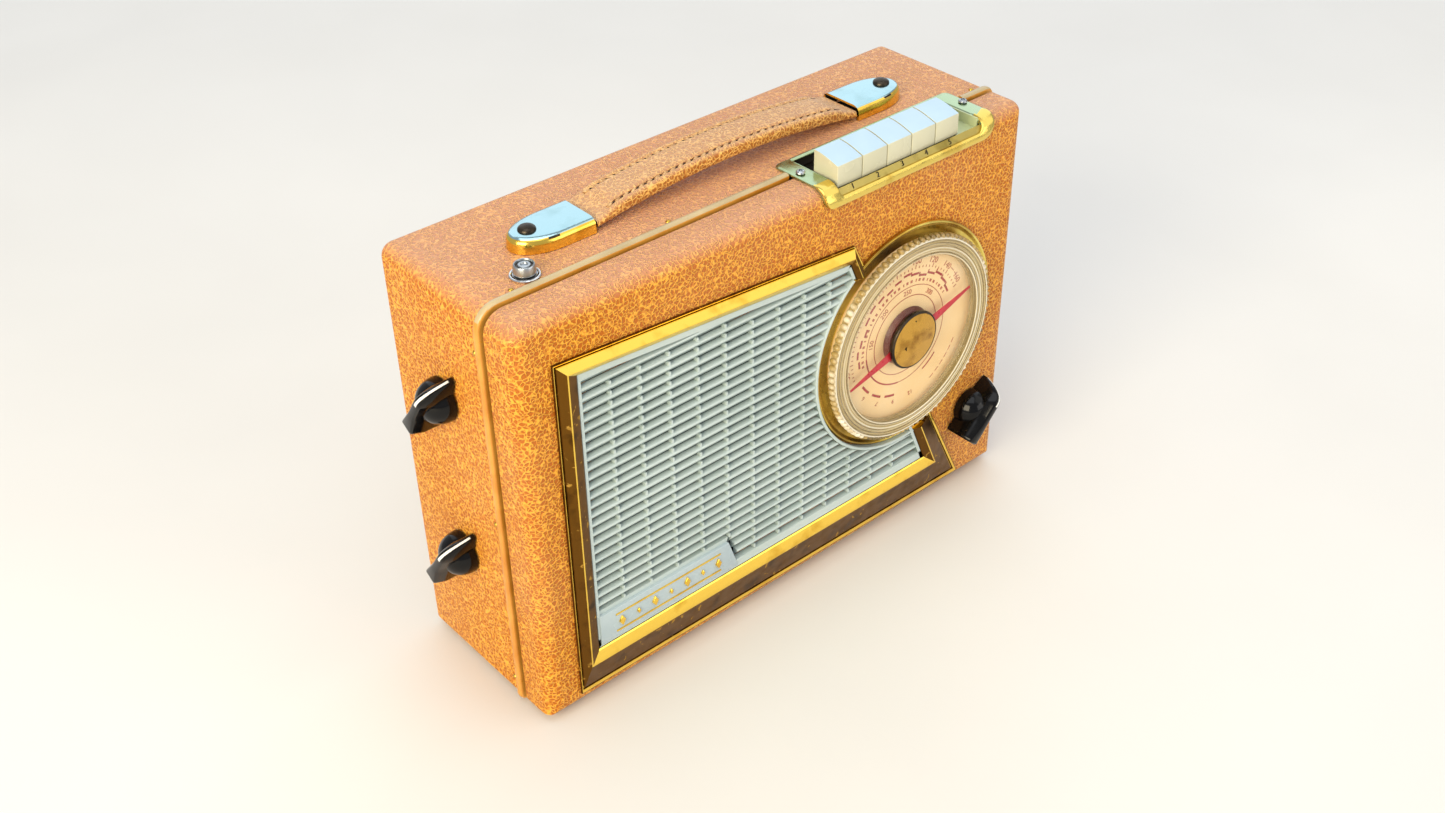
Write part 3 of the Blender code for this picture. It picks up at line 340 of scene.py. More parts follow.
def loft(rings, closed=False):
    """The points and faces of a skin over rings, with a face at each end unless it is closed."""
    count = len(rings[0])
    points = [p for ring in rings for p in ring]
    faces = []
    for i in range(len(rings) if closed else len(rings) - 1):
        a, b = i * count, (i + 1) % len(rings) * count
        for j in range(count):
            k = (j + 1) % count
            faces.append((a + j, a + k, b + k, b + j))
    if not closed:
        faces.append(tuple(range(count))[::-1])
        faces.append(tuple(range(len(points) - count, len(points))))
    return points, faces


def prism(name, outline, axis, low, high, material):
    def at(pair, level):
        point = list(pair)
        point.insert(axis, level)
        return tuple(point)

    rings = [[at(p, low) for p in outline], [at(p, high) for p in outline]]
    return mesh_of(name, *loft(rings), material)


def block(name, x, y, z, material):
    corners = [(x[0], y[0]), (x[1], y[0]), (x[1], y[1]), (x[0], y[1])]
    return prism(name, corners, 2, z[0], z[1], material)


def turned(name, profile, centre, axis, material, steps=64, smooth=35):
    """A (radius, level) profile turned about an axis."""
    first, second = [i for i in range(3) if i != axis]
    rings = []
    for step in range(steps):
        angle = 2 * pi * step / steps
        ring = []
        for radius, level in profile:
            point = [0, 0, 0]
            point[axis] = level
            point[first] = centre[0] + radius * cos(angle)
            point[second] = centre[1] + radius * sin(angle)
            ring.append(tuple(point))
        rings.append(ring)
    points, faces = loft(rings, closed=True)
    if profile[0][0] == 0 and profile[-1][0] == 0:
        last = len(profile) - 1
        faces = [face for face in faces if {v % len(profile) for v in face} != {0, last}]
    return mesh_of(name, points, faces, material, smooth)


def out(value):
    """The Y of what stands this far out from the case's face."""
    return FRONT - value


def dial_turned(name, profile, material, steps=128, smooth=35):
    """A (radius, how far out) profile turned about the dial's centre."""
    return turned(name, [(r, out(h)) for r, h in profile], DIAL, 1, material, steps, smooth)


def dial_arc(section, start, end, count):
    """Rings of a (radius, how far out) section, from start to end degrees round the dial."""
    rings = []
    for step in range(count + 1):
        angle = radians(start + (end - start) * step / count)
        c, s = cos(angle), sin(angle)
        rings.append([(DIAL[0] + r * c, out(h), DIAL[1] + r * s) for r, h in section])
    return rings


def rod(name, centre, axis, low, high, radius, material, steps=32):
    return turned(name, [(0, low), (radius, low), (radius, high), (0, high)], centre, axis, material, steps)


def evaluated(obj):
    """A new mesh of the object with its modifiers applied."""
    bpy.context.view_layer.update()
    return bpy.data.meshes.new_from_object(obj.evaluated_get(bpy.context.evaluated_depsgraph_get()))


def applied(obj):
    """Bakes the object's modifiers into its mesh."""
    mesh = evaluated(obj)
    obj.modifiers.clear()
    old, obj.data = obj.data, mesh
    bpy.data.meshes.remove(old)
    return obj


def cut(obj, *tools, smooth=35):
    for tool in tools:
        modifier = obj.modifiers.new("cut", "BOOLEAN")
        modifier.operation = "DIFFERENCE"
        modifier.object = tool
        applied(obj)
        bpy.data.objects.remove(tool, do_unlink=True)
    obj.data.set_sharp_from_angle(angle=radians(smooth))
    return obj


def bevelled(obj, width, segments=3, angle=30):
    modifier = obj.modifiers.new("bevel", "BEVEL")
    modifier.width = width * MM
    modifier.segments = segments
    modifier.limit_method = "ANGLE"
    modifier.angle_limit = radians(angle)
    applied(obj)
    obj.data.shade_smooth()
    obj.data.set_sharp_from_angle(angle=radians(40))
    return obj


def joined(name, parts):
    """One object from several, which keep their materials."""
    main = parts[0]
    chosen = {"selected_editable_objects": parts, "selected_objects": parts}
    with bpy.context.temp_override(active_object=main, **chosen):
        bpy.ops.object.join()
    main.name = name
    main.data.name = name
    return main


def second_material(obj, material, wanted):
    """Gives material to the faces whose centre and normal, in the case's frame, are wanted."""
    obj.data.materials.append(material)
    slot = len(obj.data.materials) - 1
    for face in obj.data.polygons:
        if wanted((face.center - ORIGIN) / MM, face.normal):
            face.material_index = slot


def between(a, b, t):
    """The point at t of the way from a to b."""
    return tuple(p + (q - p) * t for p, q in zip(a, b))


def clamped(value):
    return min(max(value, 0), 1)


def rounded_rect(x, z, left, right, low, steps=10):
    """Points round a rectangle, from its top right. left and right are its upper corners' radii."""
    points = []
    corners = [
        (x[1], z[1], 90, -1, -1, right),
        (x[1], z[0], 0, -1, 1, low),
        (x[0], z[0], -90, 1, 1, low),
        (x[0], z[1], -180, 1, -1, left),
    ]
    for cx, cz, start, sx, sz, radius in corners:
        for step in range(steps + 1):
            angle = radians(start - 90 * step / steps)
            points.append((
                cx + sx * radius + radius * cos(angle),
                cz + sz * radius + radius * sin(angle),
            ))
    return points


# ---------------------------------------------------------------- case

def case_ring(y, inset):
    """The case's outline at depth y, drawn in by inset. Its upper left corner tightens towards the back."""
    share = max((y - SEAM_BACK) / (BACK - SEAM_BACK), 0)
    corner = LEFT_CORNER + (REAR_LEFT_CORNER - LEFT_CORNER) * share
    radii = (max(corner - inset, 1.5), max(RIGHT_CORNER - inset, 1.5), max(LOW_CORNER - inset, 0.8))
    outline = rounded_rect((LEFT + inset, RIGHT - inset), (inset, HEIGHT - inset), *radii)
    return [(x, y, z) for x, z in outline]


def shell(name, seam, face, edge, face_wall):
    """Half of the case: a box with soft edges, open at the seam, with painted shade on its inside."""
    inward = 1 if face < seam else -1
    rings = [case_ring(face, edge)]
    for step in range(1, 11):
        angle = radians(9 * step)
        depth = face + inward * edge * (1 - cos(angle))
        rings.append(case_ring(depth, edge * (1 - sin(angle))))
    rings += [
        case_ring(seam - inward * 0.7, 0),
        case_ring(seam - inward * 0.2, 0.2),
        case_ring(seam, 0.7),
        case_ring(seam, WALL),
        case_ring(face + inward * (face_wall + 4), WALL),
        case_ring(face + inward * face_wall, WALL + 3),
    ]
    half = mesh_of(name, *loft(rings), LEATHERETTE)
    deep = sorted((face + inward * face_wall * 0.9, seam + inward))

    def is_inside(c, n):
        clear = min(c.x - LEFT, RIGHT - c.x, c.z, HEIGHT - c.z)
        return deep[0] < c.y < deep[1] and clear > 0.6 and (clear > WALL - 0.5 or abs(n.y) > 0.9)

    # Painted shade on the shell's inside.
    second_material(half, INSIDE_SHADE, is_inside)
    return half


KEY_HOLE = (OPENING[0] - 1.2, OPENING[1] + 1.2)
KEY_HOLE_DEPTH = (HEIGHT - 10, HEIGHT + 1)
WINDOW_OUTLINE = [(-105, 34), (78, 34), (16, 149), (-105, 158)]
BEHIND_DIAL = 60


def darken_key_hole(half):
    """Makes the walls of the hole for the keys dark with painted shade."""
    second_material(half, INSIDE_SHADE, lambda c, n: HEIGHT - 9 < c.z < HEIGHT - 0.3 and abs(n.z) < 0.5
                    and KEY_HOLE[0] - 0.1 < c.x < KEY_HOLE[1] + 0.1 and c.y > FRONT + 1)


def make_front():
    """The front half, with a window for the speaker that stops short of the dial, and a hole for the keys."""
    front = shell("front_case", SEAM_FRONT, FRONT, FRONT_EDGE, WALL)
    window = prism("tool", WINDOW_OUTLINE, 1, FRONT - 1, FRONT + 9, INSIDE_SHADE)
    cut(window, rod("tool", DIAL, 1, FRONT - 3, FRONT + 12, BEHIND_DIAL, INSIDE_SHADE))
    cut(front, window, block("tool", KEY_HOLE, (FRONT + 1.1, SEAM_FRONT + 1), KEY_HOLE_DEPTH, INSIDE_SHADE))
    # Painted shade on the walls of the speaker window.
    second_material(front, INSIDE_SHADE, lambda c, n: FRONT + 0.05 < c.y < FRONT + 5 and -105.5 < c.x < 78.5
                    and 33 < c.z < 159 and abs(n.y) < 0.5)
    darken_key_hole(front)
    place(front, "root", "leatherette", "front_shell")


def make_rear():
    """The rear half: the door's rebate and opening, and holes for the keys, the screw and the aerial."""
    rear = shell("rear_case", SEAM_BACK, BACK, BACK_EDGE, BACK_WALL)
    low, high = measure("rear_door")
    rebate = (low.x - 0.4, high.x + 0.4), (low.y - GAP, BACK + 1), (low.z - 0.4, high.z + 0.4)
    opening = (low.x + 6, high.x - 6), (BACK - BACK_WALL - 1, BACK), (low.z + 5.6, high.z - 16)
    cut(
        rear,
        block("tool", KEY_HOLE, (SEAM_BACK - 1, -15), KEY_HOLE_DEPTH, INSIDE_SHADE),
        block("tool", *rebate, INSIDE_SHADE),
        block("tool", *opening, INSIDE_SHADE),
        rod("tool", (0, middle("door_screw").z), 1, BACK - BACK_WALL - 1, BACK, 2.8, INSIDE_SHADE),
        rod("tool", AERIAL, 2, HEIGHT - 9, HEIGHT + 1, 5, INSIDE_SHADE),
    )
    darken_key_hole(rear)
    place(rear, "root", "leatherette", "rear_shell")


def make_piping():
    """A bead over the seam, a little flat on its crown, broken by the key plate."""
    height = PIPING_PROUD - 0.5
    front, back = SEAM_FRONT + 1.5, SEAM_BACK - 0.5
    centre, half = (front + back) / 2, (back - front) / 2
    profile = []
    for step in range(13):
        angle = radians(15 * step)
        profile.append((height * sin(angle) ** 0.62, centre + half * cos(angle)))
    profile += [(-3.3, front + 0.6), (-3.3, back - 0.4)]
    lines = []
    for proud, y in profile:
        corners = (LEFT_CORNER + proud, RIGHT_CORNER + proud, max(LOW_CORNER + proud, 0.8))
        ring = rounded_rect((LEFT - proud, RIGHT + proud), (-proud, HEIGHT + proud), *corners)
        line = [(PLATE_HIGH.x + 0.5, HEIGHT + proud), *ring, (PLATE_LOW.x - 0.5, HEIGHT + proud)]
        lines.append([(x, y, z) for x, z in line])
    rings = [[line[i] for line in lines] for i in range(len(lines[0]))]
    bead = mesh_of("piping_bead", *loft(rings), PIPING)
    # Painted sky reflection on the bead's upper faces.
    second_material(bead, PIPING_TOP_SKY_REFLECTION, lambda c, n: n.z > 0.45)
    place(bead, "root", "piping", "seam_piping")


def make_nails():
    """Domed nail heads just behind the piping."""
    dome = [(0, -0.4), (1.1, -0.4), (1.1, 0), (0.9, 0.4), (0.5, 0.65), (0, 0.72)]
    y = SEAM_BACK + 1.3
    nails = []
    for x in (-117, -44, 127):
        nails.append(turned("nail", [(r, HEIGHT + h) for r, h in dome], (x, y), 2, OLD_GOLD, 16))
    for side, face in ((-1, LEFT), (1, RIGHT)):
        for z in (9, 91, 171):
            nails.append(turned("nail", [(r, face + side * h) for r, h in dome], (y, z), 0, OLD_GOLD, 16))
    place(joined("nail_heads", nails), "root", "brass")


def make_feet():
    for node in ("foot_front_left", "foot_front_right", "foot_rear_left", "foot_rear_right"):
        low, high = measure(node)
        radius = (high.x - low.x) / 2
        profile = [(0, high.z), (radius, high.z), (radius, high.z - 0.8), (radius - 0.35, low.z + 0.5)]
        profile += [(radius - 0.8, low.z + 0.1), (radius - 1.3, low.z)]
        profile += [(1.6, low.z), (1.3, low.z + 0.7), (0, low.z + 0.7)]
        centre = ((low.x + high.x) / 2, (low.y + high.y) / 2)
        place(turned(node + "_moulded", profile, centre, 2, RUBBER, 40), "root", "rubber", node)


def make_door_screw():
    """A screw with a shank, a stepped round head and a slot for a coin."""
    z = middle("door_screw").z
    low, high = measure("door_screw")
    profile = [(0, low.y), (1.3, low.y), (1.8, low.y + 0.5), (1.8, BACK + 0.3), (6.3, BACK + 0.3)]
    profile += [(6.5, BACK + 0.5), (6.5, BACK + 1.1), (6.2, BACK + 1.4)]
    profile += [(5.2, high.y - 0.1), (4.4, high.y), (0, high.y)]
    screw = turned("coin_screw", profile, (0, z), 1, GOLD, 48)
    cut(screw, block("tool", (-7, 7), (high.y - 1.0, high.y + 2), (z - 0.7, z + 0.7), BLACK_GLOSS))
    place(bevelled(screw, 0.12, 2, 50), "door_fastener", "brass", "door_screw")


def make_door():
    """The battery door: a covered panel with a hole for its screw, lined inside."""
    low, high = measure("rear_door")
    door = block("door_panel", (low.x, high.x), (low.y, high.y), (low.z, high.z), LEATHERETTE)
    cut(door, rod("tool", (0, middle("door_screw").z), 1, low.y - 2, high.y + 2, 2.2, BLACK_GLOSS))
    bevelled(door, 0.9, 4)
    second_material(door, LINING, lambda c, n: n.y < -0.9)
    place(door, "door", "leatherette", "rear_door")


# ---------------------------------------------------------------- grille and its frame

def dial_side(z, radius):
    """The X at which a circle round the dial meets this level, on its left, or None where it doesn't."""
    across = radius ** 2 - (z - DIAL[1]) ** 2
    return DIAL[0] - sqrt(across) if across > 0 else None


def right_border(z):
    """The X of the frame's slanted right side at this level."""
    (low_x, low_z), (high_x, high_z) = FRAME_INNER[1], FRAME_INNER[2]
    return low_x + (high_x - low_x) * (z - low_z) / (high_z - low_z)


def top_limit(z):
    """The X at which the sloping top border comes down to this level."""
    (right_x, right_z), (left_x, left_z) = FRAME_INNER[2], FRAME_INNER[3]
    return left_x + (left_z - z) / (left_z - right_z) * (right_x - left_x)


def slat_end(z, border):
    """The X at which a slat meets the border: on the right, round the dial or along the top."""
    right = right_border(z) - border
    meets = dial_side(z, BEZEL_RADIUS + 0.6 + border)
    if meets is not None:
        right = min(right, meets)
    return min(right, top_limit(z + border))


RIM_SIDE, RIM_WIDTH = 1.3, 2.4
RIM_LEFT, RIM_BOTTOM = FRAME_INNER[0][0] + GAP, FRAME_INNER[0][1] + GAP
FIRST_WEB, WEB_PITCH = -96.0, 14.1


def make_slat(top, start):
    """A slat that runs from start to the border, and the webs that tie it to the one below."""
    # From the slat's upper edge: how far down, and how far out.
    section = [(0, 0.5), (0, 2.7), (0.2, 3.15), (0.7, 3.35), (1.25, 3.2), (1.55, 2.7), (3.7, 1.1)]
    section.append((3.95, 0.5))
    ends = [slat_end(top - below, RIM_WIDTH - 0.8) for below, _ in section]
    if min(ends) - start <= 1:
        return []
    rings = [[(x, out(h), top - below) for (below, h), x in zip(section, row)]
             for row in ([start] * len(section), ends)]
    parts = [mesh_of("slat", *loft(rings), GRILLE, 30)]
    x = FIRST_WEB
    while x < min(ends) - 1:
        if x > start + 1:
            web = (top - SLAT_PITCH - 0.1, top - SLAT_PITCH + 1.7)
            parts.append(block("web", (x - 0.45, x + 0.45), (out(2.9), out(0.5)), web, GRILLE))
        x += WEB_PITCH
    return parts


def make_grille():
    """Louvre slats with a bright nose and a face that slopes back to a slot, inside a flat border."""
    parts = []
    z = LOWEST_SLOT
    while z + SLAT_PITCH < FRAME_INNER[3][1] + 2:
        start = RIM_LEFT + RIM_SIDE - 0.4
        if z < PLAQUE[3] - 1:
            start = PLAQUE[1] + 1.2 + (PLAQUE[3] - z) * 0.33
        parts += make_slat(z + SLAT_PITCH, start)
        z += SLAT_PITCH
    grille = joined("grille_louvres", parts + make_grille_rim())
    second_material(grille, GRILLE_SHADE, lambda c, n: n.z < -0.2 and c.y > out(3.0))
    place(grille, "root", "grille_plastic", "grille")


def make_grille_rim():
    """The flat border: up the left, along the sloping top, round the dial, and along the bottom."""
    face, low, inner_left = GRILLE_FACE, LOWEST_SLOT - 0.35, RIM_LEFT + RIM_SIDE
    (right, right_top), left_top = FRAME_INNER[2], FRAME_INNER[3][1] - GAP
    inner_top = left_top - RIM_WIDTH - 0.2

    def right_strip(start, end, width):
        corners = ((start, GAP), (end, GAP), (end, width), (start, width))
        return [(right_border(z) - inset, z) for z, inset in corners]

    strips = [
        [(RIM_LEFT, RIM_BOTTOM), (inner_left, RIM_BOTTOM + 1), (inner_left, inner_top), (RIM_LEFT, left_top)],
        [(RIM_LEFT, left_top), (inner_left, inner_top), (right - 2.1, right_top - GAP - RIM_WIDTH),
         (right - GAP, right_top - GAP)],
        [(RIM_LEFT, RIM_BOTTOM), (right_border(RIM_BOTTOM) - 0.3, RIM_BOTTOM), (right_border(low) - 0.3, low),
         (RIM_LEFT, low)],
        right_strip(RIM_BOTTOM, 52.0, 2.0),
        right_strip(153.0, 146.5, 1.9),
    ]
    parts = [prism("strip", strip, 1, out(face), out(0.4), GRILLE) for strip in strips]
    inner, outer = BEZEL_RADIUS + 0.6, BEZEL_RADIUS + 2.0
    section = [(inner, 0.4), (inner, face - 0.2), (inner + 0.3, face + 0.1), (outer - 0.3, face + 0.1),
               (outer, face - 0.2), (outer, 0.4)]
    return parts + [mesh_of("ring", *loft(dial_arc(section, 129.0, 283.0, 60)), GRILLE)]


def make_plaque():
    """The place of a name plate, which carries a plain gilt ornament: a row of lozenges between two lines."""
    left, right, low, high = PLAQUE
    edge = left + 1.2
    outline = [(edge, low), (right + 5, low), (right, high), (edge, high)]
    parts = [bevelled(prism("plaque", outline, 1, out(4.1), out(0.6), PLAQUE_PLASTIC), 0.35, 3)]
    centre = (low + high) / 2
    for k in range(7):
        x = left + 12 + k * 8.6
        tall = 1.5 if k % 2 else 2.6
        wide = tall * 0.62
        lozenge = [(x - wide, centre), (x, centre - tall), (x + wide, centre), (x, centre + tall)]
        parts.append(bevelled(prism("lozenge", lozenge, 1, out(4.9), out(4.0), GOLD), 0.2, 2))
    for z in (centre - 4.4, centre + 4.4):
        parts.append(block("line", (left + 9, right - 5), (out(4.4), out(4.0)), (z - 0.35, z + 0.35), GOLD))
    shelf = [(edge, high), (right, high), (right + 0.6, high + 2.0), (edge, high + 2.0)]
    parts.append(prism("shelf", shelf, 1, out(2.6), out(0.5), GRILLE))
    place(joined("plaque_ornament", parts), "root", "grille_plastic")


def make_frame():
    """The brass frame: a lip, a groove, a broad outer slope, a rounded crest and an inner slope."""
    # Between which two outlines each ring lies, how far it is from the first, and how far out.
    outer, inner = (FRAME_OUTER, FRAME_CREST), (FRAME_CREST, FRAME_INNER)
    steps = [(outer, 0, GAP), (outer, 0, 1.2), (outer, 0.04, 1.5), (outer, 0.14, 1.5), (outer, 0.16, 0.9),
             (outer, 0.24, 0.9), (outer, 0.26, 2.3), (outer, 0.93, 5.1), (outer, 0.98, 5.35),
             (inner, 0.1, FRAME_RIDGE), (inner, 0.2, 5.25), (inner, 0.9, 4.0), (inner, 1, 3.6),
             (inner, 1, GAP)]
    rings = [[(x, out(h), z) for x, z in (between(a, b, t) for a, b in zip(*pair))] for pair, t, h in steps]
    obj = mesh_of("brass_frame", *loft(rings, closed=True), GOLD, 18)
    cut(obj, rod("tool", DIAL, 1, out(12), FRONT + 2, BEZEL_RADIUS + 0.4, BLACK_GLOSS, 128), smooth=18)
    # Painted dark floor reflection on the downward-facing lower slope and on the side slopes.
    second_material(obj, DARK_REFLECTION_GOLD, lambda c, n: (n.z < -0.12 and c.z < 26) or abs(n.x) > 0.25)
    second_material(obj, OLD_GOLD, lambda c, n: c.y > out(1.3) and abs(n.y) > 0.5)
    # Painted shade on the upright walls of the lip and the groove at the frame's foot.
    second_material(obj, DARK_REFLECTION_GOLD, lambda c, n: c.y > out(1.45) and abs(n.y) < 0.5)
    place(obj, "root", "brass", "grille_frame")


# ---------------------------------------------------------------- dial

def make_bezel():
    profile = [(46.4, GAP), (BEZEL_RADIUS, GAP), (BEZEL_RADIUS, 1.5), (53.3, 1.95), (53.0, 2.15)]
    profile += [(52.6, 2.15), (52.2, 1.9), (51.3, 1.0), (50.8, 0.85), (46.4, 0.85)]
    place(dial_turned("bezel_ring", profile, BEZEL_BRASS, 160), "root", "brass", "dial_bezel")


def make_cap():
    """The disc's cap: a dark turned rim round a shallow cone."""
    r = CAP_RADIUS
    profile = [(0, 5.3), (r - 0.6, 5.3), (r, 5.7), (r, 6.9), (r - 0.25, 7.3), (r - 0.5, 7.4)]
    profile += [(r - 0.75, 7.25), (r - 1.0, 7.45), (6, 8.15), (0, 8.7)]
    cap = dial_turned("cap_cone", profile, CAP_GOLD, 96, 30)
    second_material(cap, DARK_METAL, lambda c, n: hypot(c.x - DIAL[0], c.z - DIAL[1]) > r - 0.9)
    place(cap, "tuning", "brass", "disc_cap")


def make_disc():
    """The clear disc: a beaded rim, a band of turned grooves, a thin window and a hub behind it."""
    beads, bead, grooves = 96, 1.3, 7
    edge = DISC_RADIUS - 1.5
    profile = [(40.6, 2.7), (edge - 0.5, 2.7), (edge, 3.2), (edge, 6.2), (edge - 0.5, 6.75)]
    for k in range(grooves):
        start = edge - 0.9 - k * 0.92
        profile += [(start, 6.8), (start - 0.3, 6.55), (start - 0.6, 6.55), (start - 0.85, 6.8)]
    profile += [(40.95, 7.15), (40.3, 7.15), (39.7, 6.5), (39.4, 5.0), (39.4, 3.2)]
    parts = [dial_turned("disc_band", profile, RIM_PLASTIC, 192, 25)]
    half_circle = [(0, -1), (0.5, -0.87), (0.87, -0.5), (1, 0), (0.87, 0.5), (0.5, 0.87), (0, 1)]
    ball = [(r * bead, out(5.0 + 1.9 * h)) for r, h in half_circle]
    for k in range(beads):
        angle = 2 * pi * k / beads
        reach = DISC_RADIUS - bead
        spot = (DIAL[0] + reach * cos(angle), DIAL[1] + reach * sin(angle))
        parts.append(turned("bead", ball, spot, 1, BEADS, 10, 180))
    place(joined("disc_band", parts), "tuning", "clear_plastic", "tuning_disc")
    window = dial_turned("disc_window", [(3.4, 4.0), (39.5, 4.0), (39.5, 5.0), (3.4, 5.0)], WINDOW, 96)
    place(window, "tuning", "clear_plastic")
    hub = [(3.4, 1.7), (13.8, 1.7), (13.6, 2.1), (12.7, 3.6), (12.4, 3.95), (3.4, 3.95)]
    place(dial_turned("disc_hub", hub, HUB, 64), "tuning", "black_plastic")


def make_pointer():
    """A double-ended red pointer on the window, widest at the hub."""
    a = radians(POINTER_ANGLE)
    c, s = cos(a), sin(a)
    reach, hub, tip, wide = 38.3, 12, 0.6, 2.4
    outline = [(-reach, tip), (-reach, -tip), (-hub, -wide), (hub, -wide)]
    outline += [(-x, -y) for x, y in outline]
    spots = [(DIAL[0] + x * c - y * s, DIAL[1] + x * s + y * c) for x, y in outline]
    place(prism("red_pointer", spots, 1, out(5.2), out(5.02), POINTER_RED), "tuning", "clear_plastic")


def arc(radius, width, start, end):
    """A printed line round the dial, from start to end degrees, with a step every 3 degrees or so."""
    low, high = 1.45, 1.62
    section = [(radius, low), (radius + width, low), (radius + width, high), (radius, high)]
    rings = dial_arc(section, start, end, max(int(abs(end - start) / 3), 1))
    return loft(rings, closed=abs(end - start) == 360)


def figures(text, size, thick, material, at, turn):
    """Figures with a little thickness, centred. They are drawn in the XY plane, turned and set in place."""
    curve = bpy.data.curves.new("figures", "FONT")
    curve.body = text
    curve.size = size * MM
    curve.align_x, curve.align_y = "CENTER", "CENTER"
    curve.extrude = thick / 2 * MM
    curve.resolution_u = 3
    flat = linked("figures", curve)
    mesh = evaluated(flat)
    mesh.materials.clear()
    mesh.materials.append(material)
    mesh.transform(Matrix.Translation(ORIGIN + Vector(at) * MM) @ turn)
    bpy.data.objects.remove(flat, do_unlink=True)
    return linked("figures", mesh)


def dial_figures(text, radius, degrees, size):
    """A number on the dial, its top turned outwards."""
    angle = radians(degrees)
    x, z = DIAL[0] + radius * cos(angle), DIAL[1] + radius * sin(angle)
    turn = Matrix.Rotation(-(angle - pi / 2), 4, "Y") @ Matrix.Rotation(pi / 2, 4, "X")
    return figures(text, size, 0.14, PRINT_BROWN, (x, out(1.55), z), turn)


def make_scale():
    """The scale's disc and its printing: red band marks, brown rings and ticks, and figures."""
    profile = [(3.9, 0.3), (SCALE_RADIUS, 0.3), (SCALE_RADIUS, 1.5), (3.9, 1.5)]
    place(dial_turned("scale_disc", profile, SCALE, 96), "root", "scale_card", "dial_scale")
    red, brown = [], []
    for k in range(16):
        start = 24 + k * 10.6
        level = 27.9 + (0.0, 1.1, 2.1, 1.1)[k % 4] - (1.2 if k > 11 else 0)
        red.append(arc(level, 1.0, start, start + (9.6 if k < 6 else 7.6)))
        if k < 6:
            red.append(arc(level, 2.0, start + 8.9, start + 9.9))
    red += [arc(29.4, 1.1, start, start + 12) for start in (212, 230, 248)]
    red += [arc(26.5, 0.6, 298, 318), arc(23.6, 0.7, 186, 262)]
    brown += [arc(19.0, 0.35, 0, 360), arc(23.8, 0.3, 262, 546)]
    for k in range(45):
        start = 22 + k * 4
        brown.append(arc(32.0, 1.0 if k % 5 else 1.9, start, start + 0.7))
    for k in range(30):
        start = 28 + k * 5.6
        brown.append(arc(25.6, 1.3, start, start + (2.6 if k % 3 else 1.2)))
    brown += [arc(35.6, 0.35, start, start + 4.2) for start in (30, 36, 300, 306, 312, 318, 324, 330)]
    parts = []
    for printed, material in ((red, PRINT_RED), (brown, PRINT_BROWN)):
        parts += [mesh_of("mark", points, faces, material) for points, faces in printed]
    # Each row's radius, first angle, step and size, and its numbers.
    rows = [
        (35.4, 190, -18.0, 4.0, "55 60 65 70 80 90 100 120 140 160"),
        (21.4, 170, -40.0, 3.3, "150 200 250 300"),
        (33.4, 222, 19.0, 3.0, "6 7 9 12"),
    ]
    for radius, first, step, size, numbers in rows:
        for k, text in enumerate(numbers.split()):
            parts.append(dial_figures(text, radius, first + k * step, size))
    place(joined("scale_print", parts), "root", "scale_card")


# ---------------------------------------------------------------- knobs

SKIRT_RADIUS, SKIRT_EDGE, SKIRT_DOME = 9.4, 2.0, 9.8
BAR_TAIL, BAR_TIP, BAR_FALL = -14.4, 16.2, 7
LINE_START = 6.0


def bar_height(t, tall):
    """The height of a knob's bar at t along it: level over the hub, then falling in a curve to the tip."""
    if t < BAR_FALL:
        return tall - 0.02 * max(-t - 4, 0) ** 1.5
    fall = min((t - BAR_FALL) / 9.3, 1)
    return tall * (1 - 0.8 * fall ** 2.6) - 0.4 * fall


def bar_side(t, tall):
    """Half of the bar's cross-section at t: (across, height) from its foot up to its narrow crest."""
    top = bar_height(t, tall)
    wide = 3.7 * (1 - 0.72 * max((t - 6) / (BAR_TIP - 6), 0) ** 1.5) + 1.1 * clamped((-t - 1) / 12)
    narrow = wide * (0.5 + 0.2 * clamped((-t - 4) / 10))
    if t == BAR_TAIL:
        wide, narrow, top = wide - 0.6, narrow - 0.4, top - 0.6
    waist = min(tall * 0.6, top * 0.62)
    soft = min(0.8, narrow * 0.6)
    side = [(wide, 0.9), (wide, waist), (narrow + (wide - narrow) * 0.12, top - soft * 1.2)]
    return side + [(narrow - soft * 0.25, top - soft * 0.35), (narrow - soft, top)]


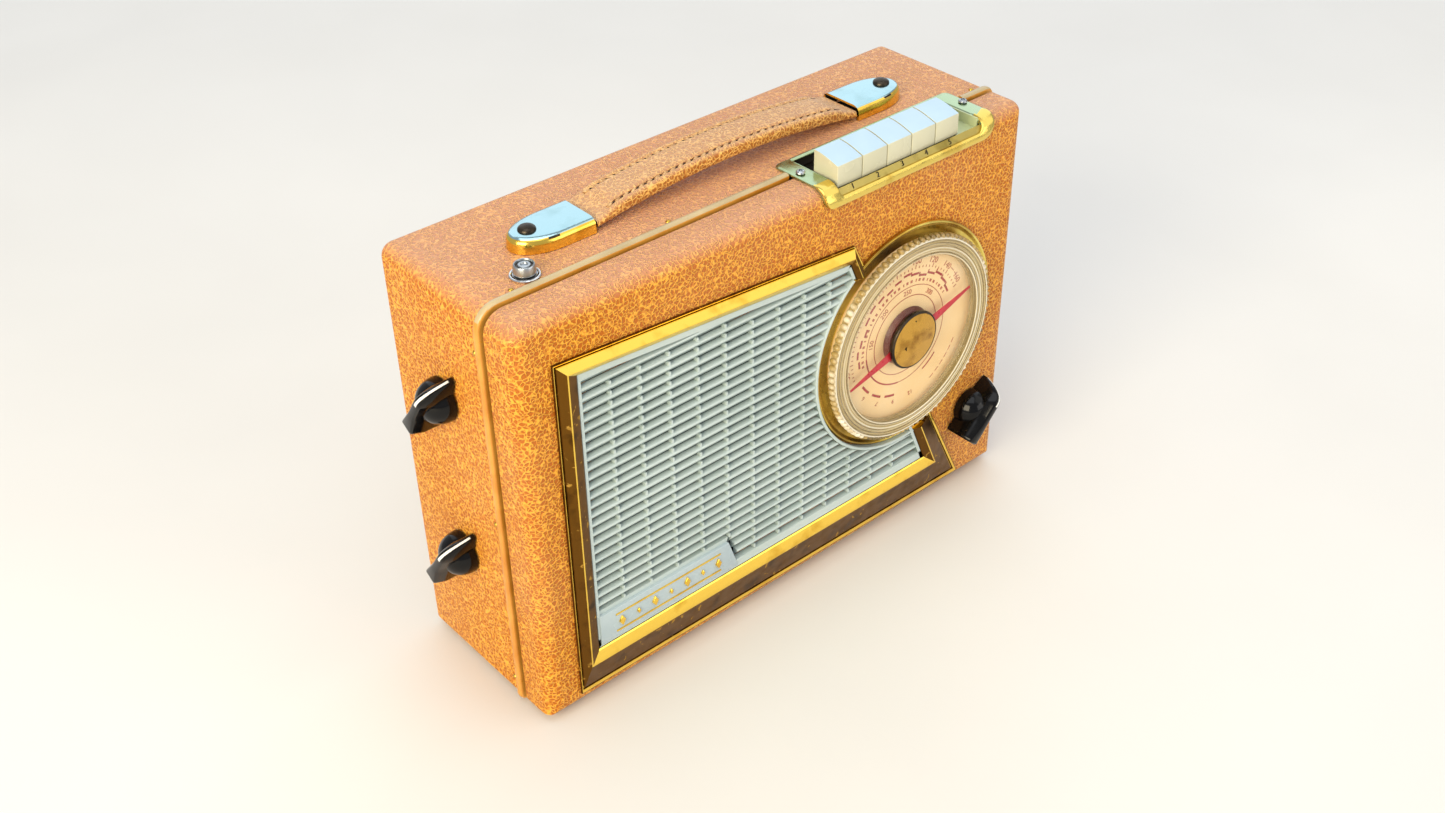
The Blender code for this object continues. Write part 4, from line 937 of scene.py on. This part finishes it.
def make_knob(node, axis, body):
    """A gloss knob: a domed skirt with a bar across it, whose nose carries a white line."""
    base = LEFT if axis == 0 else FRONT
    tall = base - measure(node)[0][axis]
    shaft = middle(node.replace("knob", "shaft"))
    centre = (shaft.y, shaft.z) if axis == 0 else (shaft.x, shaft.z)
    turn = radians(KNOB_ANGLES[node])
    c, s = cos(turn), sin(turn)

    def at(along, across, h):
        first, second = centre[0] + along * c - across * s, centre[1] + along * s + across * c
        return (base - h, first, second) if axis == 0 else (first, base - h, second)

    dome = [(0, 0.6), (SKIRT_RADIUS - 0.4, 0.6), (SKIRT_RADIUS, 1.0), (SKIRT_RADIUS, SKIRT_EDGE)]
    for step in range(1, 12):
        angle = radians(7.5 * step)
        dome.append((SKIRT_RADIUS * cos(angle) ** 0.85, SKIRT_EDGE + SKIRT_DOME * sin(angle)))
    dome.append((0, SKIRT_EDGE + SKIRT_DOME))
    skirt = turned("skirt", [(r, base - h) for r, h in dome], centre, axis, BLACK_GLOSS, 64)
    rings = []
    for k in range(41):
        t = BAR_TAIL + (BAR_TIP - BAR_TAIL) * k / 40
        side = bar_side(t, tall)
        side += [(-across, h) for across, h in side[::-1]]
        rings.append([at(t, across, h) for across, h in side])
    bar = mesh_of("bar", *loft(rings), BLACK_GLOSS, 50)
    ribbon = []
    for k in range(19):
        t = LINE_START + (BAR_TIP - LINE_START) * k / 18
        half, top = 0.62 - 0.2 * k / 18, bar_height(t, tall)
        section = [(-half, top - 0.2), (half, top - 0.2), (half, top + 0.07), (-half, top + 0.07)]
        ribbon.append([at(t, across, h) for across, h in section])
    line = mesh_of("line", *loft(ribbon), WHITE_PAINT, 60)
    place(joined(node + "_moulded", [skirt, bar, line]), body, "black_plastic", node)


# ---------------------------------------------------------------- key plate and keys

def over_edge(x, along, proud):
    """A point on the key plate: along runs from its back edge forward, over the case's front edge."""
    if along <= FLAT:
        return (x, PLATE_BACK - along, HEIGHT + proud)
    angle = (along - FLAT) / FRONT_EDGE
    if angle <= pi / 2:
        reach = FRONT_EDGE + proud
        forward, up = reach * sin(angle), reach * cos(angle)
        return (x, FRONT + FRONT_EDGE - forward, HEIGHT - FRONT_EDGE + up)
    return (x, FRONT - proud, HEIGHT - FRONT_EDGE - (along - FLAT - FRONT_EDGE * pi / 2))


def plate_ring(x, along, radii, proud):
    """A rounded outline on the key plate, with the radii of its back, front left and front right corners.
    proud is a height, or a function of along."""
    back, near, far = radii
    corner = [radians(90 * k / 8) for k in range(9)]
    # The back third is flat, so a side's points start past it.
    side = [k / 40 for k in range(14, 40)]
    points = [(x[1] - back + back * sin(a), along[0] + back - back * cos(a)) for a in corner]
    points += [(x[1], along[0] + back + (along[1] - far - along[0] - back) * t) for t in side]
    points += [(x[1] - far + far * cos(a), along[1] - far + far * sin(a)) for a in corner]
    points += [(x[0] + near - near * sin(a), along[1] - near + near * cos(a)) for a in corner]
    points += [(x[0], along[0] + back + (along[1] - near - along[0] - back) * t) for t in side[::-1]]
    points += [(x[0] + back - back * cos(a), along[0] + back - back * sin(a)) for a in corner]
    return [over_edge(px, s, proud(s) if callable(proud) else proud) for px, s in points]


def over_roll(point):
    """How far a point near the key plate's front stands off the case's rounded edge."""
    y, z = point.y - (FRONT + FRONT_EDGE), point.z - (HEIGHT - FRONT_EDGE)
    return hypot(y, max(z, 0)) - FRONT_EDGE


def strip_figure(text, x, along):
    """A number on the sloping strip in front of the keys."""
    above, below = (Vector(over_edge(x, along + step, 0.8)) for step in (-0.5, 0.5))
    across, up = Vector((1, 0, 0)), (above - below).normalized()
    turn = Matrix((across, up, across.cross(up))).transposed().to_4x4()
    return figures(text, 3.3, 0.12, DARK_METAL, over_edge(x, along, 0.84), turn)


def make_plate():
    """The key plate: a rolled rim round the keys, and a sloping strip in front of them."""
    x0, x1 = OPENING
    outer = (PLATE_LOW.x, PLATE_HIGH.x)
    back, end = PLATE_BACK + 15.9, STRIP_END

    def rim(lift):
        """The height of the rim's crest plus lift. The rim gets thicker as it goes over the case's edge."""
        return lambda along: 1.3 + lift + 1.1 * clamped((along - FLAT + 1) / 7)

    def outside(inset, ends, radii, proud):
        return plate_ring((outer[0] + inset, outer[1] - inset), (ends, PLATE_END - inset), radii, proud)

    def inside(grown, before, after, radii, proud):
        return plate_ring((x0 - grown, x1 + grown), (back - before, after), radii, proud)

    rings = [
        outside(0, 0, (3.0, 4.0, 10.5), GAP),
        outside(0, 0, (3.0, 4.0, 10.5), rim(-0.75)),
        outside(0.2, 0.2, (2.8, 3.8, 10.3), rim(-0.3)),
        outside(0.8, 0.7, (2.4, 3.3, 9.8), rim(-0.03)),
        outside(1.4, 0.9, (2.0, 2.9, 9.2), rim(0)),
        inside(1.5, 1.0, end + 1.0, (1.6, 2.2, 5.6), rim(0)),
        inside(1.0, 0.7, end + 0.7, (1.4, 1.9, 5.0), rim(-0.1)),
        inside(0.5, 0.2, end + 0.2, (1.1, 1.5, 4.4), rim(-0.6)),
        inside(0.3, 0, end, (1.0, 1.2, 4.0), 0.8),
        inside(0, -0.2, STRIP_BACK, (0.5, 0.5, 0.5), 0.8),
        inside(0, -0.2, STRIP_BACK, (0.5, 0.5, 0.5), 0.4),
        inside(0.8, 0.2, STRIP_BACK + 0.5, (0.5, 0.5, 0.5), GAP),
    ]
    plate = mesh_of("key_plate", *loft(rings, closed=True), PALE_GOLD, 30)
    second_material(plate, ROLLED_GOLD, lambda c, n: c.y < FRONT + 6.0 and over_roll(c) > 1.25)
    second_material(plate, STRIP_GOLD, lambda c, n: c.y < KEY_LOW.y + 0.2 and over_roll(c) < 1.2
                    and x0 - 0.4 < c.x < x1 + 0.4)
    place(plate, "root", "pale_brass", "key_escutcheon")


def make_key_well():
    """The floor and the end wall of the gap to the right of the keys."""
    depth, floor = (FRONT + 2.9, -20.5), HEIGHT - 4.2
    parts = [
        block("pan", (KEY_HIGH.x + 0.6, OPENING[1] + 0.2), depth, (floor, floor + 0.6), WELL),
        block("wall", (OPENING[1] - 0.2, OPENING[1] + 0.4), depth, (floor, HEIGHT + 0.9), WELL),
    ]
    place(joined("key_well", parts), "root", "pale_brass")


def make_key_numbers():
    along = (STRIP_BACK + STRIP_END) / 2
    marks = [strip_figure(str(k), middle(f"key_{k}").x, along) for k in range(1, 6)]
    place(joined("key_numbers", marks), "root", "dark_metal")


def make_plate_screws():
    for node in ("escutcheon_screw_left", "escutcheon_screw_right"):
        x, y = middle(node).x, middle(node).y
        low, high = measure(node)
        head = [(0, low.z), (1.2, low.z), (1.2, HEIGHT + 1.6), (1.85, HEIGHT + 1.6), (2.0, HEIGHT + 1.8)]
        head += [(1.95, HEIGHT + 2.1), (1.6, HEIGHT + 2.55), (1.0, HEIGHT + 2.82), (0, high.z)]
        screw = turned(node + "_head", head, (x, y), 2, STEEL, 40)
        deep = (HEIGHT + 2.1, HEIGHT + 4)
        for long, short in ((1.2, 0.25), (0.25, 1.2)):
            cut(screw, block("tool", (x - long, x + long), (y - short, y + short), deep, BLACK_GLOSS))
        place(screw, "root", "steel", node)


def key_profile():
    """A key's side view: a domed top that rises to the back, a step down, and a hub round the pivot."""
    pivot, front = middle("key_pivot_rod"), KEY_LOW.y
    top = [(front, -2.0), (front, 7.1), (front + 0.12, 7.4), (front + 0.5, 7.62)]
    for k in range(9):
        t = k / 8
        top.append((front + 1.4 + 12.0 * t, 7.85 + 2.25 * sin(t * pi / 2)))
    top += [(front + 13.6, 9.6), (front + 13.6, -1.8), (front + 20.4, -2.9)]
    profile = [(y, HEIGHT + h) for y, h in top]
    for degrees in (0, 30, 60, 90, 120, 150, 180, 215):
        a = radians(degrees)
        profile.append((pivot.y + 2.9 * sin(a), pivot.z + 2.9 * cos(a)))
    return profile + [(-27, HEIGHT - 11.5), (-37, HEIGHT - 6.5)]


def make_keys():
    pivot = middle("key_pivot_rod")
    for k in range(1, 6):
        low, high = measure(f"key_{k}")
        key = prism(f"key_{k}_moulded", key_profile(), 0, low.x + 0.08, high.x - 0.08, KEYS)
        cut(key, rod("tool", (pivot.y, pivot.z), 0, low.x - 1, high.x + 1, 1.5, BLACK_GLOSS, 20))
        bevelled(key, 0.42, 4, 40)
        second_material(key, DARK_METAL, lambda c, n: abs(n.x) < 0.5
                        and (c.y > KEY_LOW.y + 13.9 or c.z < HEIGHT - 2.4))
        # Painted sky reflection on the keys' tops.
        second_material(key, KEY_TOP_SKY_REFLECTION, lambda c, n: n.z > 0.75 and c.z > HEIGHT + 7)
        place(key, f"key_lever_{k}", "key_plastic", f"key_{k}")


# ---------------------------------------------------------------- handle

def bullet(x, half, inset, steps=24):
    """A cap's outline: straight sides from its mouth, and a pointed round end."""
    length = x[1] - x[0] - inset
    points = [(x[0], -half + inset)]
    for k in range(steps + 1):
        a = radians(-90 + 180 * k / steps)
        c = max(cos(a), 0) ** 0.92
        points.append((x[0] + length * (0.42 + 0.58 * c), (half - inset) * sin(a)))
    return points + [(x[0], half - inset)]


CAP_WALL, CAP_SOFT, CAP_ROLL = 0.25, 2.9, 3.6
CAP_HOLLOW, HOLLOW_HALF, HOLLOW_DEEP = 5.4, 9.6, 19


def make_caps():
    """The handle's caps: bullet-shaped, with soft upper edges, and hollow from the mouth inwards."""
    for side, name in ((-1, "left"), (1, "right")):
        low, high = measure(f"handle_cap_{name}")
        mouth, end = sorted((abs(low.x), abs(high.x)))
        edge = high.z - HEIGHT - CAP_SOFT
        levels = [(GAP, 0.0), (0.9, 0.0), (edge, CAP_WALL)]
        for degrees in (15, 30, 45, 58, 70, 80, 90):
            a = radians(degrees)
            levels.append((edge + CAP_SOFT * sin(a), CAP_WALL + CAP_ROLL * (1 - cos(a))))
        rings = []
        for level, inset in levels:
            outline = bullet((mouth, end), HANDLE_WIDTH / 2, inset)
            rings.append([(side * x, HANDLE_Y + y, HEIGHT + level) for x, y in outline])
        cap = mesh_of(f"cap_{name}", *loft(rings), GOLD, 50)
        hollow = sorted((side * (mouth - 1), side * (mouth + HOLLOW_DEEP)))
        across = (HANDLE_Y - HOLLOW_HALF, HANDLE_Y + HOLLOW_HALF)
        tool = block("tool", hollow, across, (HEIGHT - 1, HEIGHT + CAP_HOLLOW), BLACK_GLOSS)
        cut(cap, tool, smooth=50)
        roof = HEIGHT + CAP_HOLLOW + 0.1
        # Painted shade inside the cap's hollow.
        second_material(cap, INSIDE_SHADE, lambda c, n: c.z < roof and abs(c.y - HANDLE_Y) < HOLLOW_HALF + 0.1
                        and abs(c.x) < mouth + HOLLOW_DEEP + 0.3)
        # Painted sky reflection on the caps' upper faces.
        second_material(cap, CAP_TOP_SKY_REFLECTION, lambda c, n: n.z > 0.8 and c.z > roof)
        place(cap, "root", "brass", f"handle_cap_{name}")
        make_rivet(name, high.z - 0.1)


def make_rivet(name, base):
    """A domed rivet head that stands on the cap."""
    spot, peak = middle(f"handle_rivet_{name}"), measure(f"handle_rivet_{name}")[1].z
    dome = [(0, base), (3.5, base), (3.62, base + 0.25)]
    for degrees in range(10, 90, 10):
        a = radians(degrees)
        dome.append((3.6 * cos(a), base + 0.3 + (peak - base - 0.3) * sin(a)))
    dome.append((0, peak))
    rivet = turned(f"rivet_{name}", dome, (spot.x, HANDLE_Y), 2, DARK_METAL, 40)
    place(rivet, "root", "dark_metal", f"handle_rivet_{name}")


STRAP_LOW, STRAP_HIGH, STRAP_THICK = 4.4, 10.2, 6.2
STRAP_END, STRAP_HALF = 68.6, HANDLE_WIDTH / 2 - 0.4
STITCH_IN, STITCH_STOP, STITCH_PITCH, HOLE_LENGTH = 3.3, 60.0, 3.9, 1.3


def strap_middle(x):
    """The strap's middle line: a shallow arch."""
    return HEIGHT + STRAP_LOW + (STRAP_HIGH - STRAP_LOW) * (1 - (x / STRAP_END) ** 2)


def strap_thickness(x):
    """The strap is thin where it enters the caps, and swells to its full thickness along the stitching."""
    t = clamped((STRAP_END - abs(x) - 1) / 13)
    return STRAP_THICK * (0.62 + 0.38 * t * t * (3 - 2 * t))


def strap_top(x, y):
    """The strap's upper surface: padded along its middle, pinched at the stitching, rounded at its edges."""
    edge = STRAP_HALF - abs(y)
    soft = min(2.1, strap_thickness(x) / 2.4)
    drop = soft - sqrt(max(soft ** 2 - max(soft - edge, 0) ** 2, 0))
    sewn = clamped((STITCH_STOP + 2 - abs(x)) / 5)
    groove = 1.0 * sewn * exp(-((edge - STITCH_IN) / 0.85) ** 2)
    crown = 0.45 * max(1 - (y / (STRAP_HALF - STITCH_IN)) ** 2, 0) * sewn
    return strap_thickness(x) - STRAP_THICK / 2 - 0.45 - drop - groove + crown


def make_strap():
    half = STRAP_HALF
    across = [0.6 * half * sin(pi / 2 * k / 18) + 0.4 * half * k / 18 for k in range(-18, 19)]
    low = -STRAP_THICK / 2
    under = [(half, low + 1.4), (half - 0.5, low + 0.6), (half - 1.6, low + 0.05), (0, low)]
    under += [(-y, z) for y, z in under[2::-1]]
    rings = []
    count = 96
    for k in range(count + 1):
        x = -STRAP_END + 2 * STRAP_END * k / count
        section = [(y, strap_top(x, y)) for y in across] + under
        rings.append([(x, HANDLE_Y + y, strap_middle(x) + z) for y, z in section])
    strap = mesh_of("strap_body", *loft(rings), STRAP_LEATHER, 60)
    # Painted shade in the grooves along the stitching.
    second_material(strap, STITCH_GROOVE_SHADE, lambda c, n: n.z > 0.3 and abs(c.x) < STITCH_STOP + 1
                    and abs(half - abs(c.y - HANDLE_Y) - STITCH_IN) < 0.75)
    mouth = measure("handle_cap_right")[0].x
    # Painted shadow of the gap where the strap goes into each cap.
    second_material(strap, HOLE_SHADE, lambda c, n: mouth - 1.5 < abs(c.x) < mouth + 1)
    place(strap, "handle", "leather", "handle_strap")


def make_tongues():
    """The metal strip that runs through the strap and into each cap."""
    for side, name in ((-1, "left"), (1, "right")):
        x = sorted((side * (STRAP_END - 6), side * (STRAP_END + 28)))
        y, z = (HANDLE_Y - 5, HANDLE_Y + 5), (HEIGHT + 1.3, HEIGHT + 2.3)
        tongue = block(f"tongue_{name}", x, y, z, STEEL)
        place(bevelled(tongue, 0.2, 2), "handle", "steel")


def spindle(spot, slope, lean, long, fat, material):
    """A short rope of thread along the strap, fattest at its middle, that leans to one side."""
    rings = []
    for k in range(9):
        t = -1 + k / 4
        girth = fat * max(1 - t * t, 0.02) ** 0.5
        x, y, z = spot[0] + t * long / 2, spot[1] + lean * t, spot[2] + slope * t * long / 2
        angles = [radians(45 * j) for j in range(8)]
        rings.append([(x, y + girth * cos(a), z + 0.75 * girth * sin(a)) for a in angles])
    return mesh_of("stitch", *loft(rings), material, 60)


def make_stitches():
    """Short fat stitches along both edges, each a little askew, with a dark spindle of painted shade for the
    needle hole after each one.
    """
    random.seed(4)
    parts = []
    for side in (-1, 1):
        y = side * (STRAP_HALF - STITCH_IN)
        x = -STITCH_STOP
        while x < STITCH_STOP - 1:
            z = strap_middle(x) + strap_top(x, y) + 0.25
            slope = -2 * (STRAP_HIGH - STRAP_LOW) * x / STRAP_END ** 2
            length = 3.3 + random.uniform(-0.2, 0.2)
            parts.append(spindle((x, HANDLE_Y + y, z), slope, -side * 0.45, length, 0.74, THREAD))
            # The needle hole after the stitch: a dark spindle of painted shade.
            ahead = STITCH_PITCH / 2
            spot = (x + ahead, HANDLE_Y + y, z - 0.22 + slope * ahead)
            parts.append(spindle(spot, slope, -side * 0.45 * HOLE_LENGTH / length, HOLE_LENGTH, 0.62, HOLE_SHADE))
            x += STITCH_PITCH
    place(joined("strap_stitching", parts), "handle", "leather")


# ---------------------------------------------------------------- aerial

def make_ferrule():
    low, high = measure("aerial_ferrule")
    outer, top = (high.x - low.x) / 2, high.z
    profile = [(5.0, low.z), (outer, low.z), (outer, top - 0.35), (outer - 0.3, top - 0.05)]
    profile += [(outer - 0.6, top), (5.25, top - 0.1), (5.0, top - 0.4)]
    place(turned("ferrule_ring", profile, AERIAL, 2, CHROME, 64), "root", "chrome", "aerial_ferrule")


def make_aerial_tip():
    """A button whose top has two raised rings with a dark groove between them."""
    low, high = measure("aerial_tip")
    base, peak, wide = low.z, high.z, (high.x - low.x) / 2
    rod_top = measure("aerial_section_3")[1].z + GAP
    side = [(0, rod_top), (1.9, rod_top), (1.9, base), (wide - 0.3, base)]
    side += [(wide, base + 0.3), (wide, base + 0.8)]
    # From the outer ring inwards: each point's radius, and how far it is below the peak.
    crown = [(wide - 0.3, 0.5), (wide - 0.45, 0.15), (wide - 0.65, 0), (wide - 0.85, 0.12)]
    crown += [(wide - 1.0, 0.5), (wide - 1.1, 0.9), (2.45, 0.9), (2.35, 0.4), (2.1, 0.25)]
    crown += [(1.5, 0.3), (1.3, 0.5), (1.1, 0.9), (0, 0.9)]
    profile = side + [(r, peak - below) for r, below in crown]
    button = turned("tip_button", profile, AERIAL, 2, STEEL, 64)
    second_material(button, DARK_METAL, lambda c, n: base + 1 < c.z < peak - 0.6 and n.z > 0.3
                    and hypot(c.x - AERIAL[0], c.y - AERIAL[1]) > 2.2)
    place(button, "aerial_upper", "chrome", "aerial_tip")


# ---------------------------------------------------------------- carried CAD nodes

CARRIED = [
    (STEEL, ["aerial_sleeve", "speaker_basket", "speaker_magnet", "capacitor_frame", "capacitor_rotor",
             "front_shaft", "volume_shaft", "tone_shaft", "front_potentiometer", "volume_potentiometer",
             "tone_potentiometer", "key_pivot_rod", "key_switch_frame", "hinge_pin", "output_transformer"]),
    (CHROME, ["aerial_section_1", "aerial_section_2", "aerial_section_3"]),
    (OLD_GOLD, ["hinge_case_leaf", "hinge_door_leaf"]),
    (PAPER_CONE, ["speaker_cone"]),
    (BOARD, ["circuit_board", "ferrite_bracket", "battery_tray"]),
    (FERRITE, ["ferrite_aerial"]),
    (CARD, ["battery_left", "battery_right"]),
]


def dress_carried():
    """Gives the CAD nodes that are seen as they are their finishes."""
    for material, nodes in CARRIED:
        for node in nodes:
            NODES[node].data.materials.clear()
            NODES[node].data.materials.append(material)
    for node in ("battery_left", "battery_right"):
        second_material(NODES[node], SEALING, lambda c, n: n.z > 0.5)


# ---------------------------------------------------------------- stage

def make_camera():
    """The reference view: from the front left, above."""
    data = bpy.data.cameras.new("camera")
    data.sensor_width = 36.0
    data.lens = 41.36
    camera = linked("camera", data)
    azimuth, elevation, roll = (radians(a) for a in (40.33, 35.77, -1.2))
    level = cos(elevation)
    forward = Vector((sin(azimuth) * level, cos(azimuth) * level, -sin(elevation)))
    turn = forward.to_track_quat("-Z", "Y") @ Matrix.Rotation(roll, 3, "Z").to_quaternion()
    camera.rotation_mode = "QUATERNION"
    camera.rotation_quaternion = turn
    camera.location = ORIGIN + Vector((-388.58, -454.57, 502.62)) * MM
    bpy.context.scene.camera = camera


def area_light(name, place_at, aim, size, power, colour):
    data = bpy.data.lights.new(name, "AREA")
    data.shape = "RECTANGLE"
    data.size, data.size_y = size
    data.energy = power
    data.color = colour
    light = linked(name, data)
    light.location = place_at
    light.rotation_euler = (Vector(aim) - Vector(place_at)).to_track_quat("-Z", "Y").to_euler()


def make_stage():
    reach = 6
    corners = [(-reach, -reach, 0), (reach, -reach, 0), (reach, reach, 0), (-reach, reach, 0)]
    mesh = bpy.data.meshes.new("floor")
    mesh.from_pydata(corners, [], [(0, 1, 2, 3)])
    mesh.materials.append(finish("stage_floor", (214, 212, 208), (222, 220, 216), 3, (0.6, 0.75), 0.05, 300))
    floor = linked("floor", mesh)
    world = bpy.data.worlds.new("studio")
    bpy.context.scene.world = world
    world.use_nodes = True
    background = world.node_tree.nodes["Background"]
    background.inputs["Color"].default_value = srgb(222, 224, 228)
    background.inputs["Strength"].default_value = 0.7
    # Each light's place and aim in metres, its size in metres, its power in watts and its colour.
    area_light("sky", (1.15, 1.4, 1.45), (0, 0, 0.12), (3.4, 2.6), 27, (0.84, 0.92, 1.0))
    area_light("top", (-0.2, -0.2, 1.5), (0, 0, 0.1), (1.2, 1.0), 6, (0.94, 0.97, 1.0))
    area_light("key", (-1.3, -0.5, 0.75), (0, 0, 0.08), (0.9, 0.9), 25, (1.0, 0.87, 0.62))
    area_light("fill", (0.6, -1.4, 0.55), (0, 0, 0.1), (1.0, 0.8), 5, (1.0, 0.96, 0.9))
    area_light("front", (1.05, -0.9, 1.44), (0, 0, 0.1), (1.6, 1.4), 5.8, (1.0, 0.95, 0.86))
    bpy.context.scene.view_settings.view_transform = "Standard"


make_camera()
make_front()
make_rear()
make_piping()
make_nails()
make_feet()
make_door()
make_door_screw()
make_grille()
make_plaque()
make_frame()
make_bezel()
make_cap()
make_disc()
make_pointer()
make_scale()
make_knob("front_knob", 1, "front_control")
make_knob("volume_knob", 0, "volume_control")
make_knob("tone_knob", 0, "tone_control")
make_plate()
make_key_well()
make_key_numbers()
make_plate_screws()
make_keys()
make_caps()
make_strap()
make_tongues()
make_stitches()
make_ferrule()
make_aerial_tip()
dress_carried()
make_stage()
